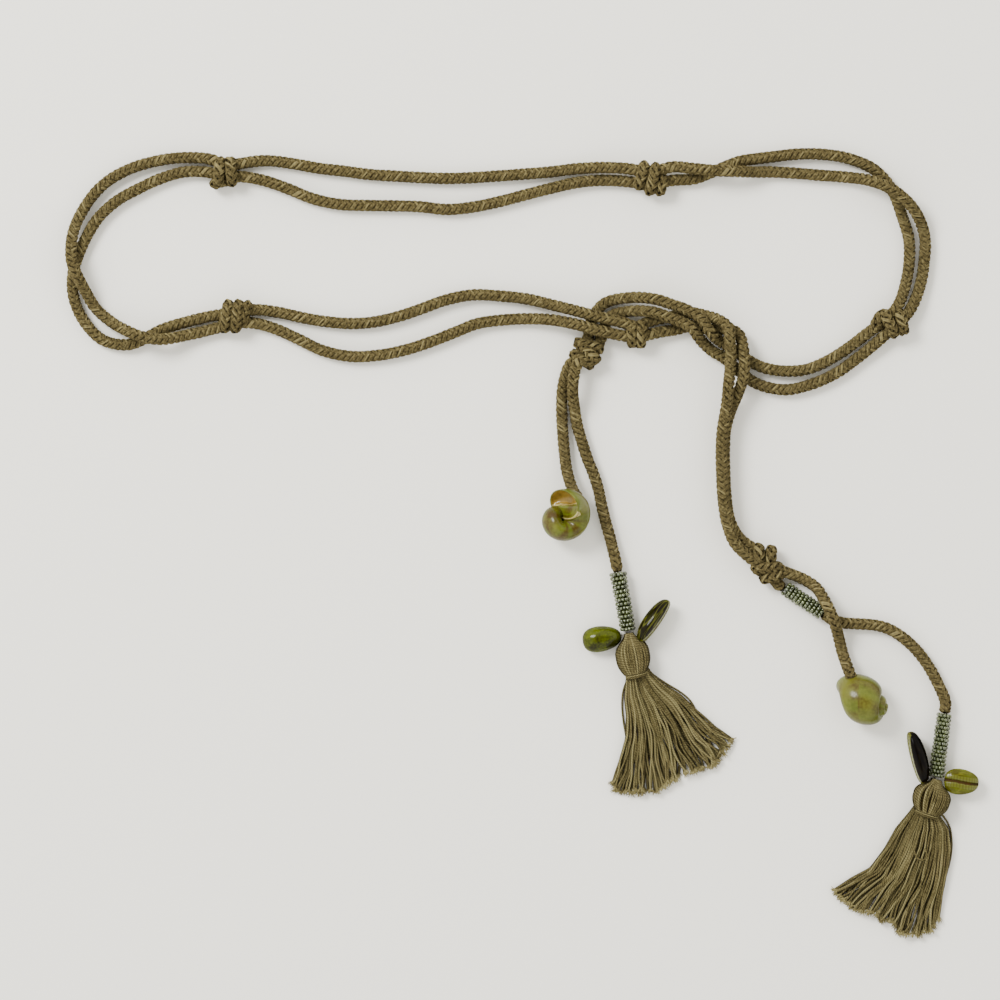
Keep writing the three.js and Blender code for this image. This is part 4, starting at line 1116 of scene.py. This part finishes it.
def skirt_thread(skirt, place, layer):
    """One thread of a skirt. place goes from its left side to its right one, and layer from the surface
    to the top."""
    way = SKIRT_WAY
    share = np.linspace(0.0, random.uniform(*way.ends), way.steps)
    drift = random.gauss(0, way.drift)
    phase, beat = random.uniform(0, 2 * math.pi), random.uniform(*way.waves)

    def wave(faster, shift=1.0):
        """The thread's waves, some times faster and from another start."""
        return np.sin(phase * shift + 2 * math.pi * beat * faster * share)

    across = np.clip(place + share * (drift + way.sway * wave(1.0)), *way.edges)[:, None]
    reach = share[:, None]
    left = outline_point(skirt.left, np.minimum(share, 1))
    right = outline_point(skirt.right, np.minimum(share, 1))
    corner = (1 - across) * left[-1] + across * right[-1]
    bottom = outline_point(skirt.bottom, across[:, 0])
    flat = (1 - across) * left + across * right + (bottom - corner) * reach**way.opening
    flat[:, 1:] += np.clip(reach - 1, 0, None) * way.past_outline
    flat = flat + random.uniform(*way.curl) * reach * wave(1.3, 2.0)[:, None] * np.array(way.curl_way)
    dome = math.sqrt(max(0.0, 1 - (2 * place - 1) ** 2))
    neck_height, end_height = (low + more * dome for low, more in (way.neck_height, way.end_height))
    top = neck_height + (end_height - neck_height) * share**way.slope
    level = THREAD_RADIUS + layer * np.maximum(top - 2 * THREAD_RADIUS, 0)
    level = np.maximum(level + way.ripple * share * wave(2.1), THREAD_RADIUS * way.lowest)
    return np.stack([flat[:, 0] - BOARD_MIDDLE[0], BOARD_MIDDLE[1] - flat[:, 1], level], axis=1)


def frayed_end(strands, line, number):
    """Fibres that spread from the end of a thread."""
    forward = unit(line[-1] - line[-4])
    side = unit(np.cross([0.0, 0.0, 1.0], forward))
    share = np.linspace(0.0, 1.0, FRAY.steps)[:, None]
    for _ in range(FRAY.fibres):
        spread = random.gauss(0, FRAY.spread)
        lift = random.gauss(0, FRAY.lift)
        reach = random.uniform(*FRAY.length)
        aim = unit(forward + side * spread + np.array([0.0, 0.0, lift]))
        fibre = line[-2] + (aim * reach + side * random.gauss(0, FRAY.bend) * share) * share
        fibre[:, 2] = np.maximum(fibre[:, 2], FRAY.lowest)
        thread(strands, fibre, np.linspace(*FRAY.radii, FRAY.steps), number, sides=3, finish=2)


def oval_line(centre, across, upward, steps):
    """A closed oval line, from the half lines that span it."""
    angle = np.linspace(0, 2 * np.pi, steps)[:, None]
    return centre + np.cos(angle) * across + np.sin(angle) * upward


def tassel(name):
    """Threads side by side over a round head, bound at its neck, and a skirt of frayed ones."""
    x, y, length, width, height, turn, gather_x, gather_y = TASSEL_HEADS[name]
    heading = math.radians(turn)
    down = np.array([math.sin(heading), -math.cos(heading), 0.0])
    side = np.array([math.cos(heading), math.sin(heading), 0.0])
    up = np.array([0.0, 0.0, 1.0])
    strands = Strands()
    top = on_board(gather_x, gather_y, height / 2) - down * HEAD.above_gather
    neck = on_board(x, y, height / 2) + down * (length / 2 - HEAD.neck_back)

    def on_head(share, angle, smaller):
        """A point at a share of the way from the gather to the neck, on one side of the head."""
        girth = np.interp(share, HEAD.share, HEAD.girth)
        out = side * math.cos(angle) * (width / 2 - smaller) + up * math.sin(angle) * (height / 2 - smaller)
        return top + (neck - top) * share + girth * out

    around = np.linspace(0, 2 * np.pi, HEAD.core_sides, endpoint=False)[::-1]
    # The head's core is in the rope core finish: painted shade between the threads.
    strands.tube([
        [on_head(share, angle, HEAD.core_thinner * THREAD_RADIUS) for angle in around]
        for share in np.linspace(*HEAD.core_ends, HEAD.core_steps)
    ], finish=1)
    for place in range(HEAD_THREADS):
        angle = 2 * math.pi * (place + random.uniform(-HEAD.aside, HEAD.aside)) / HEAD_THREADS
        lean = random.uniform(-HEAD.lean, HEAD.lean)
        line = [
            on_head(share, angle + lean * share, THREAD_RADIUS * random.uniform(*HEAD.sunk))
            for share in np.linspace(0.0, HEAD.past_neck, 3 * HEAD.thread_points)
        ]
        thread(strands, smooth_line(line[::3], HEAD.thread_step), THREAD_RADIUS, place)
    bound = neck.copy()
    bound[2] = BINDING.height * height
    for wrap in range(BINDING.wraps):
        centre = bound + down * (wrap - (BINDING.wraps - 1) / 2) * BINDING.pitch
        across = BINDING.half_width * width * side
        upward = BINDING.half_height * height * up + BINDING.slant * down
        thread(strands, oval_line(centre, across, upward, BINDING.steps), BINDING.radius, wrap)
    for place in range(SKIRT_THREADS):
        across = (place + random.random()) / SKIRT_THREADS
        layer = random.random() ** SKIRT_WAY.crowded_on_top
        line = evenly(skirt_thread(SKIRTS[name], across, layer), SKIRT_WAY.spacing)
        thread(strands, line, THREAD_RADIUS * random.uniform(*SKIRT_WAY.thickness), place)
        frayed_end(strands, line, place)
    for number, route in enumerate(STRAYS[name]):
        points = [on_board(x * OUTLINE_PIXEL, y * OUTLINE_PIXEL, height) for x, y, height in route]
        thread(strands, smooth_line(points, STRAY.spacing), STRAY.radius, STRAY.tone * number)
    gather = on_board(gather_x, gather_y, GATHER.height)
    for number, (tilt, reach) in enumerate(GATHER.loops):
        upward = GATHER.half_height * unit(up + down * (tilt - 1) * GATHER.lean)
        loop = oval_line(gather, reach * unit(side + down * tilt), upward, GATHER.steps)
        thread(strands, loop, GATHER.radius, number)
    piece = strands.make(f"threads_{name}", looks.tassel, looks.core, looks.frayed)
    finish_piece(piece, "tassel_thread", f"tassel_{name}")


random.seed(SEED)

# The camera first: straight above the board, 500 mm across.
camera_data = bpy.data.cameras.new("camera above the board")
camera_data.sensor_width = FILM_WIDTH
camera_data.lens = FILM_WIDTH * CAMERA_HEIGHT / PHOTO_WIDTH
camera = bpy.data.objects.new("camera above the board", camera_data)
camera.location = (CAMERA_PLACE[0] * METRE, CAMERA_PLACE[1] * METRE, CAMERA_HEIGHT)
bpy.context.scene.collection.objects.link(camera)
bpy.context.scene.camera = camera

looks = SimpleNamespace(
    cotton=braided_cotton(), core=rope_core(), tassel=twisted_cotton(), snail=snail_outside(),
    frayed=two_tones(
        "frayed tassel cotton", 0.95, 4.0, 0.5, TASSEL.light, TASSEL.pale, Specular_IOR_Level=0.06
    ),
    beads=two_tones(
        "metallic green seed beads", 0.25, 3.0, 0.6, BEADS.dark, BEADS.light,
        Metallic=0.35, Coat_Weight=1.0, Coat_Roughness=0.1
    ),
    snail_inside=two_tones(
        "orange brown inside of a shell", 0.35, 5.0, 0.2, SNAIL.inside_dark, SNAIL.inside,
        Specular_IOR_Level=0.2, Coat_Weight=0.3
    ),
    callus=two_tones(
        "pale shell callus", 0.3, 4.0, 0.2, SNAIL.pink, SNAIL.cream, Specular_IOR_Level=0.2, Coat_Weight=0.4
    ),
    cowries={name: cowrie_back(name, dyed) for name, dyed in COWRIES_DYED.items()},
    teeth=cowrie_teeth(),
    # The slit is painted dark: its own red-brown, mixed with the rope's shade colour as painted shade in
    # the narrow opening.
    slit=two_tones(
        "inside of a cowrie", 0.6, 4.0, 0.3, COTTON.shade, COWRIE_MOUTH.slit, Specular_IOR_Level=0.1
    ),
)

all_ropes()
for knot in KNOTS:
    knot_piece(knot)
for sleeve in SLEEVES:
    bead_sleeve(sleeve)
for shell in SHELLS:
    snail_shell(shell)
for shell in COWRIES:
    cowrie(shell)
for end in TASSEL_HEADS:
    tassel(end)


# The pale board under it, and soft light from the upper left, in metres and watts.
WINDOW = SimpleNamespace(place=(-1.5, 1.3, 1.9), size=1.1, power=98)
ROOM = SimpleNamespace(
    light=2.0, light_above=0.45, colour=(1.0, 0.995, 0.975, 1.0), dims_from=0.7, dims_to=0.97
)


def lay_floor():
    bpy.ops.mesh.primitive_plane_add(size=BOARD_SIZE, location=(0, 0, 0))
    floor = bpy.context.object
    floor.name = "pale board"
    material, nodes, shader = new_finish("pale matte board", 0.9)
    shader.inputs["Base Color"].default_value = BOARD_COLOUR
    floor.data.materials.append(material)


def soft_light():
    name = "window from the upper left"
    data = bpy.data.lights.new(name, "AREA")
    data.shape = "DISK"
    data.size = WINDOW.size
    data.energy = WINDOW.power
    light = bpy.data.objects.new(name, data)
    light.location = WINDOW.place
    light.rotation_euler = (-Vector(WINDOW.place)).to_track_quat("-Z", "Y").to_euler()
    bpy.context.scene.collection.objects.link(light)


def soft_room():
    """Pale light from all round, dimmer straight above, where the camera hangs."""
    world = bpy.data.worlds.new("soft room")
    world.use_nodes = True
    nodes = world.node_tree
    way = add(nodes, "ShaderNodeTexCoord").outputs["Generated"]
    height = add(nodes, "ShaderNodeSeparateXYZ", {"Vector": way}).outputs["Z"]
    strength = between(nodes, height, ROOM.dims_from, ROOM.dims_to, ROOM.light, ROOM.light_above)
    background = nodes.nodes["Background"]
    background.inputs["Color"].default_value = ROOM.colour
    nodes.links.new(strength, background.inputs["Strength"])
    bpy.context.scene.world = world


lay_floor()
soft_light()
soft_room()
